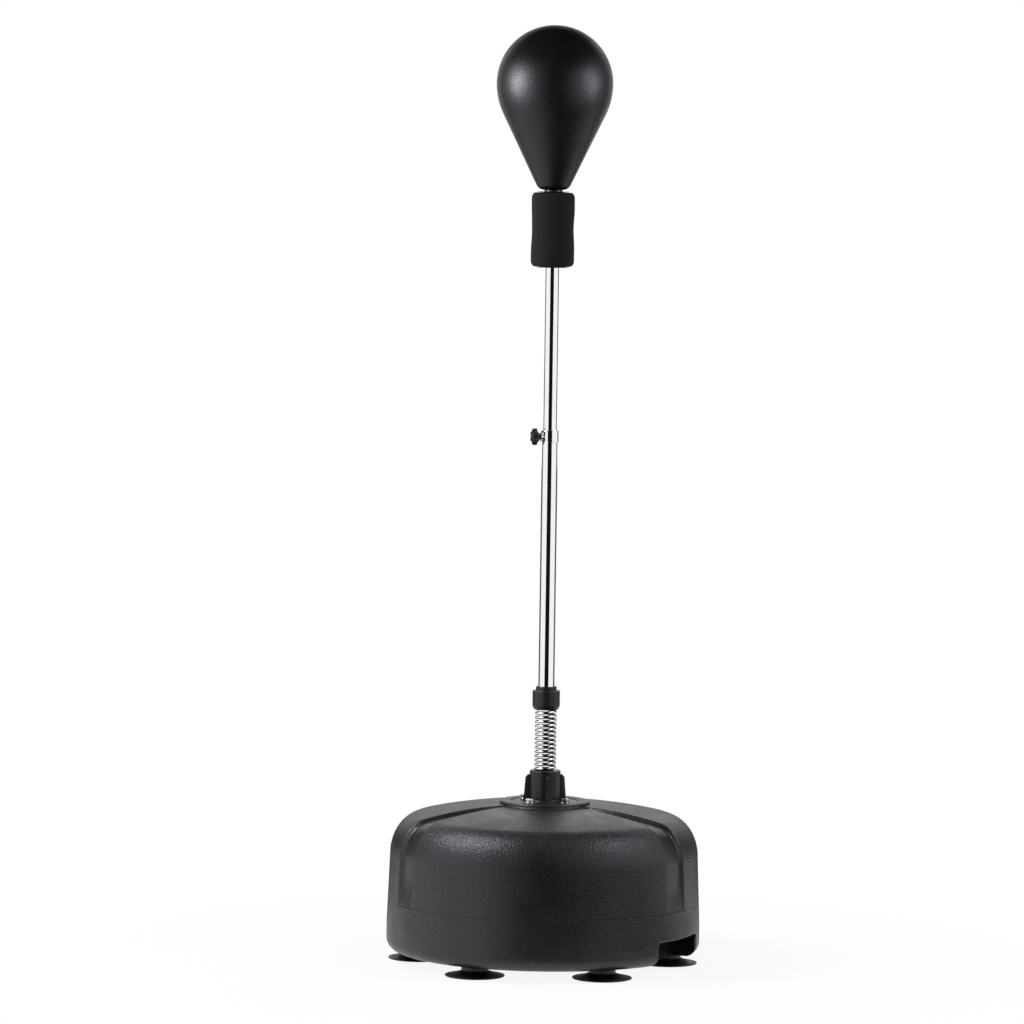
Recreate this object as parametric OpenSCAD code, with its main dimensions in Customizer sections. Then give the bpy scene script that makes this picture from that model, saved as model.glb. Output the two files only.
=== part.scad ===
// Free-standing reflex ball stand: a fillable three-lobed base on suction cups, a bolted socket with a
// coil spring, a telescopic pole with a clamp knob, a foam grip and a teardrop ball.
// Millimetres, +Z up, origin on the floor under the pole, hand notch towards +X.

/* [Base tank] */
// Widest diameter of the base
base_d = 488; // [440:1:540]
// Height of the side wall, from the underside to the shoulder
base_wall_h = 150; // [135:1:170]
// Radius that the side wall loses from its widest line to the shoulder
base_draft = 4.2; // [2:0.2:8]
// Height of the widest line above the underside
belt_h = 42; // [34:1:56]
// Height of the parting line above the underside
seam_h = 80; // [66:1:100]
// Rounding of the bottom edge
base_fillet_r = 18; // [10:1:26]
// Width of the rounded shoulder
shoulder_w = 49; // [40:1:60]
// Height of the rounded shoulder
shoulder_h = 63; // [50:1:75]
// Rise of the crown from the shoulder to the platform
crown_h = 12; // [8:1:20]
// Wall thickness of the tank
tank_wall = 4; // [3:0.5:5]
// Angle taken up by each channel between the lobes
channel_angle = 10; // [7:0.5:14]
// Depth of the channels
channel_depth = 7; // [4:0.5:10]
// Diameter of the raised platform
platform_d = 140; // [130:1:156]
// Height of the platform above the crown
platform_h = 10; // [6:1:14]
// Bevel round the platform
platform_edge = 2; // [1:0.25:4]
// Depth of the round seat for the socket in the platform
socket_sink = 7; // [5:0.5:9]
// Bevel along the parting line
seam_bevel = 1; // [0.5:0.1:2]

/* [Hand notch] */
// Width of the hand notch
notch_w = 126; // [110:1:134]
// Height of the hand notch above the underside
notch_h = 37; // [30:0.5:46]
// Depth of the hand notch into the base
notch_depth = 40; // [30:1:46]
// Rounding of the notch's corners
notch_corner_r = 6; // [4:1:14]

/* [Suction cups] */
// Diameter of a cup's lip
cup_d = 92; // [76:1:100]
// Height of a cup from the floor to the underside
cup_h = 17; // [14:1:24]
// Distance of the cups' middles from the base's edge
cup_inset = 49; // [48:1:58]
// Diameter of a cup's neck
cup_neck_d = 42; // [34:1:50]
// Thickness of a cup's lip at its rim
cup_lip_t = 1.8; // [1.2:0.1:2.6]
// Width of the flat ring that touches the floor
cup_contact_w = 5; // [3:0.5:8]
// Height of a cup's flare above its lip
cup_flare_h = 6.8; // [5:0.2:8]
// Thickness of the rubber over the middle of a cup
cup_web_t = 10; // [8.5:0.5:11]
// Thread diameter of a cup's stud
cup_stud_d = 6; // [5:0.5:8]
// Length of the stud above the underside
cup_stud_l = 16; // [12:1:22]

/* [Socket] */
// Diameter of the socket's flange
flange_d = 104; // [98:1:116]
// Thickness of the flange
flange_t = 6; // [4:0.5:8]
// Outside diameter of the socket's sleeve
sleeve_d = 48; // [44:1:54]
// Height of the socket above the platform
socket_h = 54; // [46:1:66]
// Thickness of the socket's floor
socket_floor_t = 4; // [3:0.5:6]
// Thickness of a fin
fin_t = 5; // [3:0.5:7]
// Reach of a fin beyond the sleeve at the flange
fin_foot_w = 8; // [6:0.5:10]
// Reach of a fin beyond the sleeve at its top
fin_top_w = 4; // [2:0.5:5]
// Height of the fins above the platform
fin_h = 47; // [38:1:50]
// Direction of the first fin
fin_turn = -50; // [-60:1:60]
// Diameter of the circle of flange bolts
bolt_circle_d = 78; // [74:1:84]
// Thread diameter of the flange bolts
bolt_d = 8; // [6:0.5:10]
// Length of the bolts below the flange
bolt_reach = 20; // [16:1:24]
// Width of a bolt's head across its corners
bolt_head_d = 13.8; // [11:0.2:15]
// Height of a bolt's head
bolt_head_h = 5.3; // [4:0.1:7]
// Thickness of a washer
washer_t = 1.6; // [1:0.1:2.4]

/* [Spring] */
// Outside diameter of the spring
spring_d = 34; // [32:0.5:35]
// Diameter of the spring wire
wire_d = 5; // [4:0.25:5.5]
// Number of turns
spring_turns = 20.5; // [18:0.25:21]
// Length of spring that shows between the socket and the cap
spring_show_l = 95.6; // [88:0.2:110]
// Thickness of the seat's disc under the spring
seat_t = 12; // [9:0.5:14]
// Depth of the spring's upper end inside the cap
spring_in_cap = 23.4; // [20:0.2:30]
// Thread diameter of the seat's screw
seat_screw_d = 10; // [8:0.5:12]
// Length of the seat's screw below the socket
seat_screw_reach = 22; // [18:1:26]

/* [Spring cap] */
// Diameter of the cap's body
cap_d = 42.6; // [41:0.2:48]
// Height of the cap's body with its chamfer
cap_body_h = 29.4; // [28:0.2:38]
// Height of the chamfer at the cap's mouth
cap_chamfer_h = 5.4; // [3:0.2:8]
// Wall left at the cap's mouth
cap_mouth_wall = 1.5; // [1:0.1:2.5]
// Diameter of the step ring on the cap
cap_step_d = 32; // [29:0.5:36]
// Height of the step ring
cap_step_h = 6.3; // [4:0.1:10]
// Thickness of the disc on the upper plug
plug_disc_t = 5; // [4:0.2:5.8]
// Length of the upper plug inside the lower tube
plug_in_tube = 24; // [18:1:28]

/* [Pole] */
// Outside diameter of the lower tube
lower_tube_d = 25; // [24.8:0.1:28]
// Outside diameter of the upper tube
upper_tube_d = 22; // [20:0.1:22.2]
// Wall of both tubes
tube_wall = 1.2; // [1:0.05:1.25]
// Length of the lower tube
lower_tube_l = 404; // [360:1:460]
// Length of the upper tube
upper_tube_l = 519.5; // [480:0.5:580]
// Length of upper tube inside the lower tube at rest
tube_overlap = 148; // [140:1:160]
// Length of the guide plug at the foot of the upper tube
glide_l = 18; // [12:1:30]
// Length of the threaded plug in the top of the upper tube
top_plug_l = 28; // [22:1:40]

/* [Clamp] */
// Outside diameter of the clamp ring
ring_d = 28; // [27.6:0.1:32]
// Height of the clamp ring
ring_h = 18.3; // [16:0.1:24]
// Thickness of the ring's lip over the tube's end
ring_lip_t = 2.3; // [1.5:0.1:3.5]
// Direction of the clamp screw round the pole
clamp_turn = -130; // [-180:1:180]
// Diameter of the threaded boss
boss_d = 13; // [11:0.5:14.5]
// Reach of the boss beyond the ring
boss_reach = 2; // [1.6:0.1:4]
// Thread diameter of the clamp screw
screw_d = 8; // [6:0.5:9]
// Length of the nylon shoe on the screw's tip
shoe_l = 3; // [2:0.1:4]
// Diameter across the star knob's lobes
knob_d = 26; // [23:0.5:32]
// Diameter of each of the knob's lobes
knob_lobe_d = 5.7; // [5:0.1:6.5]
// Diameter of the scoops between the lobes
knob_scoop_d = 7.8; // [6.5:0.1:9]
// Thickness of the star
knob_t = 7.5; // [6:0.5:10]
// Length of the knob's tapered hub
hub_l = 4.6; // [3.6:0.1:8]
// Diameter of the hub where it joins the star
hub_d = 15; // [13:0.5:17]
// Diameter of the hub at its tip
hub_tip_d = 11; // [10.5:0.5:12.5]

/* [Foam grip] */
// Length of the foam grip
grip_l = 117; // [100:1:140]
// Diameter of the grip near its ends
grip_bulge_d = 67.4; // [60:0.2:74]
// Diameter of the grip at its waist
grip_waist_d = 64.2; // [56:0.2:66]
// Height of the rounding at the grip's ends
grip_edge_h = 7; // [4:0.5:10]
// Width of the rounding at the grip's ends
grip_edge_w = 6.3; // [4:0.1:9]

/* [Ball] */
// Diameter of the ball
ball_d = 180; // [160:1:200]
// Height of the ball from its foot to its crown
ball_h = 254; // [244:1:280]
// Half height of the ball's rounded lower part
ball_drop = 100; // [92:1:108]
// Angle of the ball's taper against the pole
ball_taper = 25.8; // [24:0.2:27]
// Rounding of the ball's foot
ball_foot_r = 13; // [9:0.5:13.5]
// Thickness of the ball's skin
skin_t = 3; // [2:0.25:4]
// Thickness of the bladder
bladder_t = 1.5; // [1:0.25:2.5]
// Diameter of the neck under the ball
neck_d = 28.5; // [26:0.5:32]
// Length of neck that shows between the grip and the ball
neck_l = 2.7; // [2:0.1:6]
// Thread diameter of the ball's stud
ball_stud_d = 10; // [8:0.5:12]
// Diameter of the inflation valve
valve_d = 8; // [6:0.5:10]

/* [Filler] */
// Distance of the filler's middle from the base's edge
filler_inset = 104; // [94:1:116]
// Bore of the filler neck
filler_bore_d = 30; // [26:1:34]
// Wall of the filler neck
filler_neck_t = 3; // [2.5:0.25:4]
// Height of the filler neck in its pocket
filler_neck_h = 13; // [11:0.5:15]
// Diameter of the pocket round the cap
filler_pocket_d = 60; // [56:1:66]
// Wall of the filler cap
filler_cap_t = 3; // [2.5:0.25:4]
// Depth of the cap's top below the crown
filler_sink = 2; // [1:0.5:4]
// Thickness of the seal
seal_t = 2; // [1.5:0.25:3]

/* [Fits] */
// Gap between fixed pieces that fit into each other
fit_gap = 0.1; // [0.05:0.05:0.2]
// Gap between pieces that slide or turn
run_gap = 0.3; // [0.25:0.05:0.4]
// Radial gap of a screw in its thread
thread_gap = 0.05; // [0.03:0.01:0.08]

/* [Hidden] */
$fn = 96;
lobes = 3;
lobe_step = 360 / lobes;
cups = 6;
cup_step = 360 / cups;
bolts = 4;
bolt_step = 360 / bolts;
knob_lobes = 6;
arc_steps = 6;
spill = 1;

// Heights and radii of the base
under_z = cup_h;
base_r = base_d / 2;
belt_z = under_z + belt_h;
seam_z = under_z + seam_h;
shoulder_z = under_z + base_wall_h;
shoulder_r = base_r - base_draft;
crown_r = shoulder_r - shoulder_w;
crown_z = shoulder_z + shoulder_h;
platform_r = platform_d / 2;
crown_top_z = crown_z + crown_h;
platform_z = crown_top_z + platform_h;
function wall_r(z) = base_r - base_draft * (z - belt_z) / (shoulder_z - belt_z);
function crown_at(r) = crown_z + crown_h * (crown_r - r) / (crown_r - platform_r);
tongue_t = 2.5;
tongue_h = 8;
ledge_r = wall_r(seam_z + tongue_h) - channel_depth - tank_wall - run_gap;
lobe_wall_angle = 1.6;
boss_wall = 3.5;
notch_turn = 4;

// Heights and radii of the socket and the spring
socket_z = platform_z - socket_sink;
flange_top_z = socket_z + flange_t;
socket_top_z = socket_z + socket_h;
seat_z = socket_z + socket_floor_t;
spring_z0 = seat_z + seat_t;
cap_z = socket_top_z + spring_show_l;
spring_z1 = cap_z + spring_in_cap;
helix_r = (spring_d - wire_d) / 2;
spring_bore_r = spring_d / 2 + run_gap;
coil_sides = 8;
spigot_r = helix_r * cos(180 / coil_sides) - wire_d / 2 - run_gap;
insert_wall = 2.5;
seat_head_lip = 3;
seat_head_h = 8;
spigot_recess = 8;

// Heights and radii of the pole
cap_top_z = cap_z + cap_body_h;
plug_top_z = spring_z1 + plug_disc_t;
lower_tube_r = lower_tube_d / 2;
lower_bore_r = lower_tube_r - tube_wall;
lower_top_z = plug_top_z + lower_tube_l;
upper_tube_r = upper_tube_d / 2;
upper_bore_r = upper_tube_r - tube_wall;
upper_z0 = lower_top_z - tube_overlap;
upper_top_z = upper_z0 + upper_tube_l;
glide_flange_t = 3;

// Places along the clamp screw, measured from the pole's axis
ring_r = ring_d / 2;
ring_top_z = lower_top_z + fit_gap + ring_lip_t;
ring_z0 = ring_top_z - ring_h;
clamp_z = ring_z0 + (ring_h - ring_lip_t) / 2;
shoe_x = upper_tube_r + run_gap;
screw_x = shoe_x + shoe_l;
boss_x = ring_r + boss_reach;
hub_x = boss_x + 2 * run_gap;
star_x = hub_x + hub_l;
knob_end_x = star_x + knob_t;
knob_skin = 2;

// Heights and radii of the grip and the ball
grip_z0 = upper_top_z - grip_l;
grip_wave = 220;
grip_blend = 15;
ball_z0 = upper_top_z + neck_l;
ball_r = ball_d / 2;
ball_mid_z = ball_z0 + ball_h - ball_r;
neck_step = 3;
neck_hole_r = neck_d / 2 - neck_step;
neck_flange_t = 4;
neck_core_h = 22;
neck_top_z = ball_z0 + skin_t + neck_flange_t + neck_core_h;
stud_spare = 2;
stud_below = top_plug_l - 3 * stud_spare;
stud_above = neck_core_h - stud_spare;
valve_turn = 122;
valve_drop = 78;
valve_l = 14;
valve_hole_d = 2;

// Heights and radii of the filler
filler_turn = 140;
filler_r = base_r - filler_inset;
filler_top_z = crown_at(filler_r) - filler_sink;
filler_lip_z = filler_top_z - filler_cap_t - seal_t;
filler_floor_z = filler_lip_z - filler_neck_h;
filler_bore_r = filler_bore_d / 2;
filler_neck_r = filler_bore_r + filler_neck_t;
filler_cap_r = filler_neck_r + run_gap + filler_cap_t;
filler_skirt_gap = 2;
filler_bar_w = 6;

// Points of an arc, from angle a to angle b, with separate half axes
function arc(cx, cy, rx, ry, a, b, n = arc_steps) =
    [for (i = [0:n]) let (t = a + (b - a) * i / n) [cx + rx * cos(t), cy + ry * sin(t)]];

// A tube standing on z
module pipe(r_out, r_in, z, h) {
    translate([0, 0, z]) difference() {
        cylinder(r = r_out, h = h);
        translate([0, 0, -spill]) cylinder(r = r_in, h = h + 2 * spill);
    }
}

// Children turned to lie along the clamp screw
module along_clamp() {
    translate([0, 0, clamp_z]) rotate([0, 0, clamp_turn]) rotate([0, 90, 0]) children();
}

// Children repeated over the cups and the flange bolts, and set at the filler
module at_cups() {
    for (i = [0:cups - 1]) at_cup(i) children();
}
module at_cup(i) {
    rotate([0, 0, cup_step * (i + 0.5)]) translate([base_r - cup_inset, 0, 0]) children();
}
module at_bolts() {
    for (i = [0:bolts - 1]) rotate([0, 0, fin_turn + bolt_step * (i + 0.5)])
        translate([bolt_circle_d / 2, 0, 0]) children();
}
module at_filler() {
    rotate([0, 0, filler_turn]) translate([filler_r, 0, 0]) children();
}

// Half section of the upper tank, drawn in from the outer face, down to a given height
function top_outline(inset, foot_z, r_in) = concat(
    [[r_in, foot_z], [wall_r(foot_z) - inset, foot_z]],
    arc(crown_r, shoulder_z, shoulder_w - inset, shoulder_h - inset, 0, 90, 2 * arc_steps),
    [[r_in, crown_at(r_in) - inset]]);

// Round core at the channels' depth with the three lobes on it
module top_form(inset, foot_z, gap, lobe_in) {
    rotate_extrude() polygon(top_outline(inset + channel_depth, foot_z, 0));
    for (i = [0:lobes - 1]) rotate([0, 0, lobe_step * i + gap / 2])
        rotate_extrude(angle = lobe_step - gap) polygon(top_outline(inset, foot_z, lobe_in));
}

module base_top_shell() {
    pocket_h = crown_top_z - filler_floor_z;
    color("#26262b") difference() {
        union() {
            difference() {
                union() {
                    top_form(0, seam_z - spill, channel_angle, platform_r - tank_wall);
                    rotate_extrude() polygon([[0, crown_z], [platform_r, crown_z],
                        [platform_r, platform_z - platform_edge], [platform_r - platform_edge, platform_z],
                        [0, platform_z]]);
                }
                top_form(tank_wall, seam_z - 2 * spill, channel_angle + 2 * lobe_wall_angle,
                    platform_r + tank_wall);
                translate([0, 0, under_z]) cylinder(r = base_r, h = seam_h);
            }
            intersection() {
                union() {
                    at_bolts() translate([0, 0, socket_z - bolt_reach - tank_wall])
                        cylinder(r = bolt_d / 2 + insert_wall + boss_wall, h = bolt_reach + tank_wall - spill);
                    translate([0, 0, socket_z - seat_screw_reach - tank_wall])
                        cylinder(r = seat_screw_d / 2 + insert_wall + boss_wall,
                            h = seat_screw_reach + tank_wall - spill);
                }
                cylinder(r = platform_r, h = platform_z);
            }
            at_filler() translate([0, 0, filler_floor_z - tank_wall])
                cylinder(r = filler_pocket_d / 2 + tank_wall, h = crown_at(filler_r) - filler_floor_z);
        }
        translate([0, 0, socket_z]) cylinder(d = flange_d + 2 * run_gap, h = socket_sink + spill);
        at_bolts() translate([0, 0, socket_z - bolt_reach])
            cylinder(r = bolt_d / 2 + insert_wall, h = bolt_reach + spill);
        translate([0, 0, socket_z - seat_screw_reach])
            cylinder(r = seat_screw_d / 2 + insert_wall, h = seat_screw_reach + spill);
        at_filler() {
            pipe(filler_pocket_d / 2, filler_neck_r, filler_floor_z, pocket_h);
            translate([0, 0, filler_lip_z]) cylinder(r = filler_neck_r + spill, h = pocket_h);
            translate([0, 0, filler_floor_z - 2 * tank_wall]) cylinder(r = filler_bore_r, h = pocket_h);
        }
    }
}

// Half section of the lower tank: side wall, rim ledge and the tongue that centres the upper shell
bottom_outline = concat(
    [[0, under_z]],
    arc(base_r - base_fillet_r, under_z + base_fillet_r, base_fillet_r, base_fillet_r, -90, 0),
    [[base_r, belt_z], [wall_r(seam_z - seam_bevel), seam_z - seam_bevel],
        [wall_r(seam_z) - seam_bevel, seam_z], [ledge_r, seam_z], [ledge_r, seam_z + tongue_h],
        [ledge_r - tongue_t, seam_z + tongue_h], [ledge_r - tongue_t, seam_z - tank_wall],
        [wall_r(seam_z - tank_wall) - tank_wall, seam_z - tank_wall], [base_r - tank_wall, belt_z]],
    arc(base_r - base_fillet_r, under_z + base_fillet_r, base_fillet_r - tank_wall,
        base_fillet_r - tank_wall, 0, -90),
    [[0, under_z + tank_wall]]);

// Block of the hand notch, grown by a wall, open outwards and downwards
module notch_block(grow) {
    w = notch_w + 2 * grow;
    top = under_z + notch_h + grow;
    back = base_r - notch_depth - grow;
    front = base_r + spill;
    r = notch_corner_r + grow;
    rotate([0, 0, notch_turn]) intersection() {
        translate([back - spill, 0, 0]) rotate([90, 0, 90]) linear_extrude(front - back + spill)
            polygon(concat([[-w / 2, under_z - spill], [w / 2, under_z - spill]],
                arc(w / 2 - r, top - r, r, r, 0, 90), arc(r - w / 2, top - r, r, r, 90, 180)));
        translate([0, 0, under_z - spill]) linear_extrude(top)
            polygon(concat([[front, -w / 2], [front, w / 2]],
                arc(back + r, w / 2 - r, r, r, 90, 180), arc(back + r, r - w / 2, r, r, 180, 270)));
    }
}

// The whole round body below the parting line
module bottom_envelope() {
    rotate_extrude() polygon(concat([[0, under_z]],
        arc(base_r - base_fillet_r, under_z + base_fillet_r, base_fillet_r, base_fillet_r, -90, 0),
        [[base_r, belt_z], [wall_r(seam_z - tank_wall), seam_z - tank_wall], [0, seam_z - tank_wall]]));
}

module base_bottom_shell() {
    color("#232328") difference() {
        union() {
            rotate_extrude() polygon(bottom_outline);
            at_cups() translate([0, 0, under_z])
                cylinder(r = cup_stud_d / 2 + insert_wall + boss_wall, h = cup_stud_l + tank_wall);
            intersection() {
                notch_block(tank_wall);
                bottom_envelope();
            }
        }
        notch_block(0);
        at_cups() translate([0, 0, under_z - spill])
            cylinder(r = cup_stud_d / 2 + insert_wall, h = cup_stud_l + spill);
    }
}

// Suction cup: thin lip that flares out of a neck, hollow below, with a cavity for the stud's head
cup_flare_power = 1.6;
stud_head_lip = 5;
stud_head_r = cup_stud_d / 2 + stud_head_lip;
stud_head_t = 3;
stud_head_z = under_z - cup_web_t / 2 - stud_head_t / 2;
module suction_cup(i) {
    cup_r = cup_d / 2;
    neck_r = cup_neck_d / 2;
    hollow_z = under_z - cup_web_t;
    flare = [for (k = [0:arc_steps]) let (t = k / arc_steps)
        [cup_r + (neck_r - cup_r) * t, cup_lip_t + cup_flare_h * pow(t, cup_flare_power)]];
    color("#1a1a1c") at_cup(i) difference() {
        rotate_extrude() polygon(concat(
            [[0, hollow_z], [neck_r / 2, hollow_z], [cup_r - cup_contact_w, 0], [cup_r, 0]],
            flare, [[neck_r, under_z], [0, under_z]]));
        translate([0, 0, stud_head_z - fit_gap])
            cylinder(r = stud_head_r + fit_gap, h = stud_head_t + 2 * fit_gap);
        translate([0, 0, stud_head_z]) cylinder(r = cup_stud_d / 2 + fit_gap, h = cup_h);
    }
}
module suction_cup_1() { suction_cup(0); }
module suction_cup_2() { suction_cup(1); }
module suction_cup_3() { suction_cup(2); }
module suction_cup_4() { suction_cup(3); }
module suction_cup_5() { suction_cup(4); }
module suction_cup_6() { suction_cup(5); }

module cup_studs() {
    color("silver") at_cups() {
        translate([0, 0, stud_head_z]) cylinder(r = stud_head_r, h = stud_head_t);
        translate([0, 0, stud_head_z])
            cylinder(r = cup_stud_d / 2, h = under_z + cup_stud_l - stud_head_z - 2 * fit_gap);
    }
}

module cup_inserts() {
    color("goldenrod") at_cups()
        pipe(cup_stud_d / 2 + insert_wall - fit_gap, cup_stud_d / 2 + thread_gap, under_z + fit_gap,
            cup_stud_l - 2 * fit_gap);
}

module pole_socket() {
    sleeve_r = sleeve_d / 2;
    color("#1f1f22") difference() {
        union() {
            translate([0, 0, socket_z]) cylinder(d = flange_d, h = flange_t);
            translate([0, 0, socket_z]) cylinder(r = sleeve_r, h = socket_h);
            for (i = [0:bolts - 1]) rotate([0, 0, fin_turn + bolt_step * i])
                translate([0, fin_t / 2, 0]) rotate([90, 0, 0]) linear_extrude(fin_t)
                    polygon([[0, socket_z], [sleeve_r + fin_foot_w, socket_z],
                        [sleeve_r + fin_foot_w, flange_top_z], [sleeve_r + fin_top_w, socket_z + fin_h],
                        [0, socket_z + fin_h]]);
        }
        translate([0, 0, seat_z]) cylinder(r = spring_bore_r, h = socket_h);
        translate([0, 0, socket_z - spill]) cylinder(r = seat_screw_d / 2 + fit_gap, h = socket_h);
        at_bolts() translate([0, 0, socket_z - spill])
            cylinder(r = bolt_d / 2 + fit_gap, h = flange_t + 2 * spill);
    }
}

module socket_bolts() {
    head_z = flange_top_z + washer_t;
    color("silver") at_bolts() {
        translate([0, 0, head_z]) cylinder(d = bolt_head_d, h = bolt_head_h, $fn = 6);
        translate([0, 0, socket_z - bolt_reach + 2 * fit_gap])
            cylinder(d = bolt_d, h = head_z + bolt_head_h / 2 - socket_z + bolt_reach - 2 * fit_gap);
    }
}

module socket_washers() {
    color("silver") at_bolts() pipe(bolt_d, bolt_d / 2 + fit_gap, flange_top_z, washer_t);
}

module socket_inserts() {
    color("goldenrod") at_bolts()
        pipe(bolt_d / 2 + insert_wall - fit_gap, bolt_d / 2 + thread_gap, socket_z - bolt_reach + fit_gap,
            bolt_reach - 2 * fit_gap);
}

// Plug in the socket: disc under the spring, spigot inside it, counterbore for the screw
seat_head_r = seat_screw_d / 2 + seat_head_lip;
seat_top_z = socket_top_z - spigot_recess;
module spring_seat() {
    color("dimgray") difference() {
        union() {
            translate([0, 0, seat_z]) cylinder(r = spring_bore_r - fit_gap, h = seat_t);
            translate([0, 0, seat_z]) cylinder(r = spigot_r, h = seat_top_z - seat_z);
        }
        translate([0, 0, seat_z - spill]) cylinder(r = seat_screw_d / 2 + fit_gap, h = socket_h);
        translate([0, 0, spring_z0]) cylinder(r = seat_head_r + fit_gap, h = socket_h);
    }
}

module seat_screw() {
    foot_z = socket_z - seat_screw_reach + 2 * fit_gap;
    color("silver") {
        translate([0, 0, spring_z0]) cylinder(r = seat_head_r, h = seat_head_h);
        translate([0, 0, foot_z]) cylinder(d = seat_screw_d, h = spring_z0 + seat_head_h / 2 - foot_z);
    }
}

module seat_insert() {
    color("goldenrod")
        pipe(seat_screw_d / 2 + insert_wall - fit_gap, seat_screw_d / 2 + thread_gap,
            socket_z - seat_screw_reach + fit_gap, seat_screw_reach - 2 * fit_gap);
}

// Route of the spring wire on its cylinder, unrolled: run round the cylinder and height.
// A straight foot, a bend into the helix, the turns, a bend out of it and a straight end.
wire_bend_r = wire_d;
wire_sides = 6;
bend_steps = 3;
spring_span = spring_z1 - spring_z0;
helix_rise = spring_span - 2 * wire_d - 2 * wire_bend_r;
helix_run = spring_turns * 2 * PI * helix_r;
helix_steps = ceil(spring_turns * coil_sides);
function bend_point(t) = [wire_bend_r * (1 - cos(t)), wire_d + wire_bend_r * sin(t)];
half_route = concat([[0, 0]], [for (i = [0:bend_steps]) bend_point(90 * i / bend_steps)]);
last_bend = half_route[len(half_route) - 1];
run_end = 2 * last_bend[0] + helix_run;
wire_route = concat(
    half_route,
    [for (i = [1:helix_steps - 1]) last_bend + [helix_run, helix_rise] * i / helix_steps],
    [for (i = [len(half_route) - 1:-1:0]) [run_end, spring_span] - half_route[i]]);
function on_coil(p) = let (a = p[0] / helix_r * 180 / PI) [helix_r * cos(a), helix_r * sin(a), p[1]];
wire_points = [for (p = wire_route) on_coil(p)];
wire_last = len(wire_points) - 1;
function unit(v) = v / norm(v);
function wire_dir(i) = unit(wire_points[min(i + 1, wire_last)] - wire_points[max(i - 1, 0)]);
function wire_ring(i) =
    let (p = wire_points[i], out = unit([p[0], p[1], 0]), side = unit(cross(wire_dir(i), out)))
    let (lift = cross(side, wire_dir(i)))
    [for (k = [0:wire_sides - 1]) let (a = 360 * k / wire_sides)
        p + wire_d / 2 * (cos(a) * lift + sin(a) * side)];

// Least gap of the wire to itself, over points half a step apart and at least half a turn along
fine_points = [for (i = [0:2 * wire_last]) on_coil(
    (wire_route[floor(i / 2)] + wire_route[ceil(i / 2)]) / 2)];
spring_gap = min([for (i = [0:2 * wire_last]) for (j = [i + coil_sides:1:2 * wire_last])
    norm(fine_points[i] - fine_points[j])]) - wire_d;
echo(str("least gap of the spring to itself: ", spring_gap, " mm"));

module spring() {
    rings = [for (i = [0:wire_last]) each wire_ring(i)];
    n = wire_sides;
    walls = [for (i = [0:wire_last - 1]) for (k = [0:n - 1]) let (a = i * n + k, b = i * n + (k + 1) % n)
        each [[a, b, b + n], [a, b + n, a + n]]];
    caps = [for (k = [1:n - 2]) each [[0, k + 1, k], [wire_last * n, wire_last * n + k, wire_last * n + k + 1]]];
    color("silver") translate([0, 0, spring_z0]) polyhedron(rings, concat(walls, caps));
}

module spring_cap() {
    cap_r = cap_d / 2;
    mouth_r = spring_bore_r + cap_mouth_wall;
    roof_z = plug_top_z;
    color("#1c1c1f") difference() {
        union() {
            rotate_extrude() polygon([[0, cap_z], [mouth_r, cap_z], [cap_r, cap_z + cap_chamfer_h],
                [cap_r, cap_top_z - spill], [cap_r - spill, cap_top_z], [0, cap_top_z]]);
            translate([0, 0, cap_top_z - spill]) cylinder(d = cap_step_d, h = cap_step_h + spill);
        }
        translate([0, 0, cap_z - spill]) cylinder(r = spring_bore_r, h = roof_z - cap_z + spill);
        translate([0, 0, cap_z]) cylinder(r = lower_tube_r + fit_gap, h = cap_body_h + cap_step_h + spill);
    }
}

// Plug between the spring and the lower tube: spigot in the spring, disc, spigot in the tube
module spring_plug() {
    foot_z = cap_z + spigot_recess;
    color("dimgray") {
        translate([0, 0, foot_z]) cylinder(r = spigot_r, h = spring_z1 - foot_z + spill);
        translate([0, 0, spring_z1]) cylinder(r = spring_bore_r - fit_gap, h = plug_disc_t);
        translate([0, 0, spring_z1]) cylinder(r = lower_bore_r - fit_gap, h = plug_disc_t + plug_in_tube);
    }
}

module lower_tube() {
    color("#d8d8dc") difference() {
        pipe(lower_tube_r, lower_bore_r, plug_top_z, lower_tube_l);
        along_clamp() cylinder(r = screw_d / 2 + thread_gap, h = ring_d);
    }
}

module clamp_ring() {
    color("#d8d8dc") difference() {
        translate([0, 0, ring_z0]) cylinder(r = ring_r, h = ring_h);
        translate([0, 0, ring_z0 - spill])
            cylinder(r = lower_tube_r + fit_gap, h = lower_top_z + fit_gap - ring_z0 + spill);
        translate([0, 0, ring_z0]) cylinder(r = upper_tube_r + run_gap, h = ring_h + spill);
        along_clamp() cylinder(r = screw_d / 2 + thread_gap, h = ring_d);
    }
}

module clamp_boss() {
    color("#c8c8cc") difference() {
        along_clamp() pipe(boss_d / 2, screw_d / 2 + thread_gap, 0, boss_x);
        translate([0, 0, ring_z0 - ring_h]) cylinder(r = ring_r + thread_gap, h = 3 * ring_h);
    }
}

module clamp_shoe() {
    color("ivory") along_clamp() translate([0, 0, shoe_x]) cylinder(d = screw_d, h = shoe_l);
}

module clamp_screw() {
    color("silver") along_clamp() translate([0, 0, screw_x])
        cylinder(d = screw_d, h = knob_end_x - knob_skin - screw_x);
}

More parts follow.
